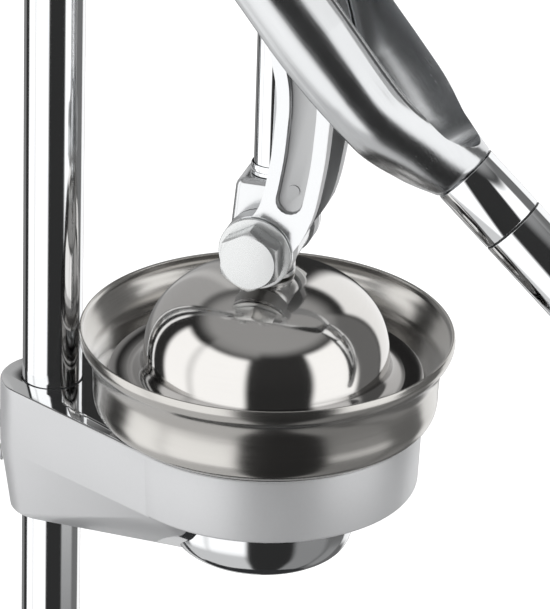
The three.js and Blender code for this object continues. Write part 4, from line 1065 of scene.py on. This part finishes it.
head = head_casting()
cut(head, moved(bar("pole_hole", 10.5, 188, 240), on_pole), bar("guide_bore", 7.7, 181, 229),
    moved(bar("pivot_bore", 5.4, -20, 20, 48), (0, *pivot), facing_right),
    moved(bar("screw_hole", 2.7, 0, 20, 32), (0, pole_y, 214), facing_back))
dress(settle(head), "head", bracket_satin)
bush_line = closed([(6.4, 0.3), (6.7, 0), (7.4, 0), (7.4, 16), (8.8, 16),
                    (9, 16.2), (9, 17.8), (8.8, 18), (6.7, 18), (6.4, 17.7)])
for label, z, turn in (("upper", 211.3, (0, 0, 0)), ("lower", 199.2, upside_down)):
    spun("guide_bush_ring_" + label, bush_line, "guide_bush_" + label, bush_bronze, (0, 0, z), turn, 72)
cap_profile = [(0, -6), (9.8, -6), (10.2, -5.6), (10.2, 0), (17.3, 0), (17.5, 0.2), (17.5, 2.6),
               *arc(14.9, 2.4, 2.6, 8, 90, 6), (0, 5)]
spun("pole_cap_plastic", cap_profile, "pole_cap", cap_plastic, (0, pole_y, 238.3))
print("head faces", len(head.data.polygons))

# %% [markdown]
# The studio is plain: a pale floor, a soft white world and a camera where the photographer stood.
# Polished metal shows what stands round it, so the world is drawn for glossy rays as a photo tent with
# white panels and black flags between them. A panel is given by the directions it covers: how far to
# the right of the camera, and how far up. All other rays see even white.

# %% Floor
bpy.ops.mesh.primitive_plane_add(size=12, location=(0, 0, 0))
floor = bpy.context.object
floor.name = "floor"
floor_paint = bpy.data.materials.new("floor_paint")
floor_paint.use_nodes = True
tree = floor_paint.node_tree
paint = tree.nodes["Principled BSDF"]
for label, value in (("Base Color", (0.8, 0.8, 0.8, 1)), ("Roughness", 0.9), ("Specular IOR Level", 0.0),
                     ("Emission Color", (1, 1, 1, 1))):
    paint.inputs[label].default_value = value
seen = tree.nodes.new("ShaderNodeLightPath").outputs["Is Camera Ray"]
tree.links.new(times(tree, seen, 0.45), paint.inputs["Emission Strength"])
floor.data.materials.append(floor_paint)
floor.visible_glossy = False
floor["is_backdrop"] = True
print("floor laid")

# %% World
world = bpy.data.worlds.new("tent")
bpy.context.scene.world = world
world.use_nodes = True
tree = world.node_tree
background = tree.nodes["Background"]
background.inputs["Color"].default_value = (1, 1, 1, 1)
direction = tree.nodes.new("ShaderNodeTexCoord").outputs["Generated"]
camera_turn, camera_tilt, camera_roll = -74.59, 25.17, 1.79
one_radian = 180 / math.pi


def facing(azimuth):
    angle = math.radians(camera_turn + azimuth)
    return math.sin(angle), -math.cos(angle), 0


def along_ray(vector):
    values = {0: direction, 1: vector}
    return added(tree, "VectorMath", values, operation="DOT_PRODUCT").outputs["Value"]


sideways = maths(tree, "ARCTAN2", along_ray(facing(90)), along_ray(facing(0)))
turned_by = times(tree, sideways, one_radian)
climb = times(tree, maths(tree, "ARCSINE", along_ray((0, 0, 1))), one_radian)


def between(value, low, high, soft):
    return times(tree, ranged(tree, value, low - soft, low + soft, smooth=True),
                 ranged(tree, value, high + soft, high - soft, smooth=True))


panels = [  # left, right, foot and top in degrees, brightness, softness
    (-106, -77, -38, 35, 1.3, 4), (-77, -69, -38, 36, 0.95, 4), (-69, -18, -38, 37, 1.3, 4),
    (-182, -18, -84, -38, 0.65, 5), (44, 92, -26, 40, 1.3, 4), (44, 92, -80, -26, 0.25, 5),
    (92, 128, -60, 50, 0.14, 4), (131, 168, -36, 35, 1.05, 3), (-174, -164, -12, 42, 0.4, 3),
    (100, 180, -80, -36, 0.12, 5), (-166, -128, -12, 42, 0.42, 4), (-182, -128, -36, -12, 0.2, 4),
    (-180, 180, 48, 95, 0.34, 8), (-70, -8, 40, 50, 0.15, 5), (-180, 180, -95, -84, 0.05, 4)]
glow = 0.03
for left, right, foot, top, brightness, soft in panels:
    shape = times(tree, between(turned_by, left, right, soft), between(climb, foot, top, soft))
    glow = plus(tree, times(tree, shape, brightness), glow)
glossy = tree.nodes.new("ShaderNodeLightPath").outputs["Is Glossy Ray"]
tree.links.new(mixed(tree, "FLOAT", glossy, 1.0, glow), background.inputs["Strength"])
print("tent panels", len(panels))

# %% Camera
camera_data = bpy.data.cameras.new("camera")
camera = bpy.data.objects.new("camera", camera_data)
bpy.context.scene.collection.objects.link(camera)
azimuth, elevation, roll = map(math.radians, (camera_turn, camera_tilt, camera_roll))
flat = math.cos(elevation)
back = Vector((math.sin(azimuth) * flat, -math.cos(azimuth) * flat, math.sin(elevation)))
level = (-back).cross(Vector((0, 0, 1))).normalized()
upright = level.cross(-back)
right = level * math.cos(roll) + upright * math.sin(roll)
up = upright * math.cos(roll) - level * math.sin(roll)
aim = Matrix((right, up, back)).transposed().to_4x4()
camera.matrix_world = Matrix.Translation(place(-1255.12, -348.33, 650.55)) @ aim
camera_data.sensor_fit = "AUTO"
camera_data.sensor_width = 24
camera_data.lens = 172.87
camera_data.clip_start, camera_data.clip_end = 0.05, 30
bpy.context.scene.camera = camera
bpy.context.scene.view_settings.view_transform = "Standard"
print("camera at", [round(x, 4) for x in camera.location])

# %% [markdown]
# The box round the finished looks is measured. The finished looks have to stay inside the solids'
# box.

# %% Sizes and finish
low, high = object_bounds()
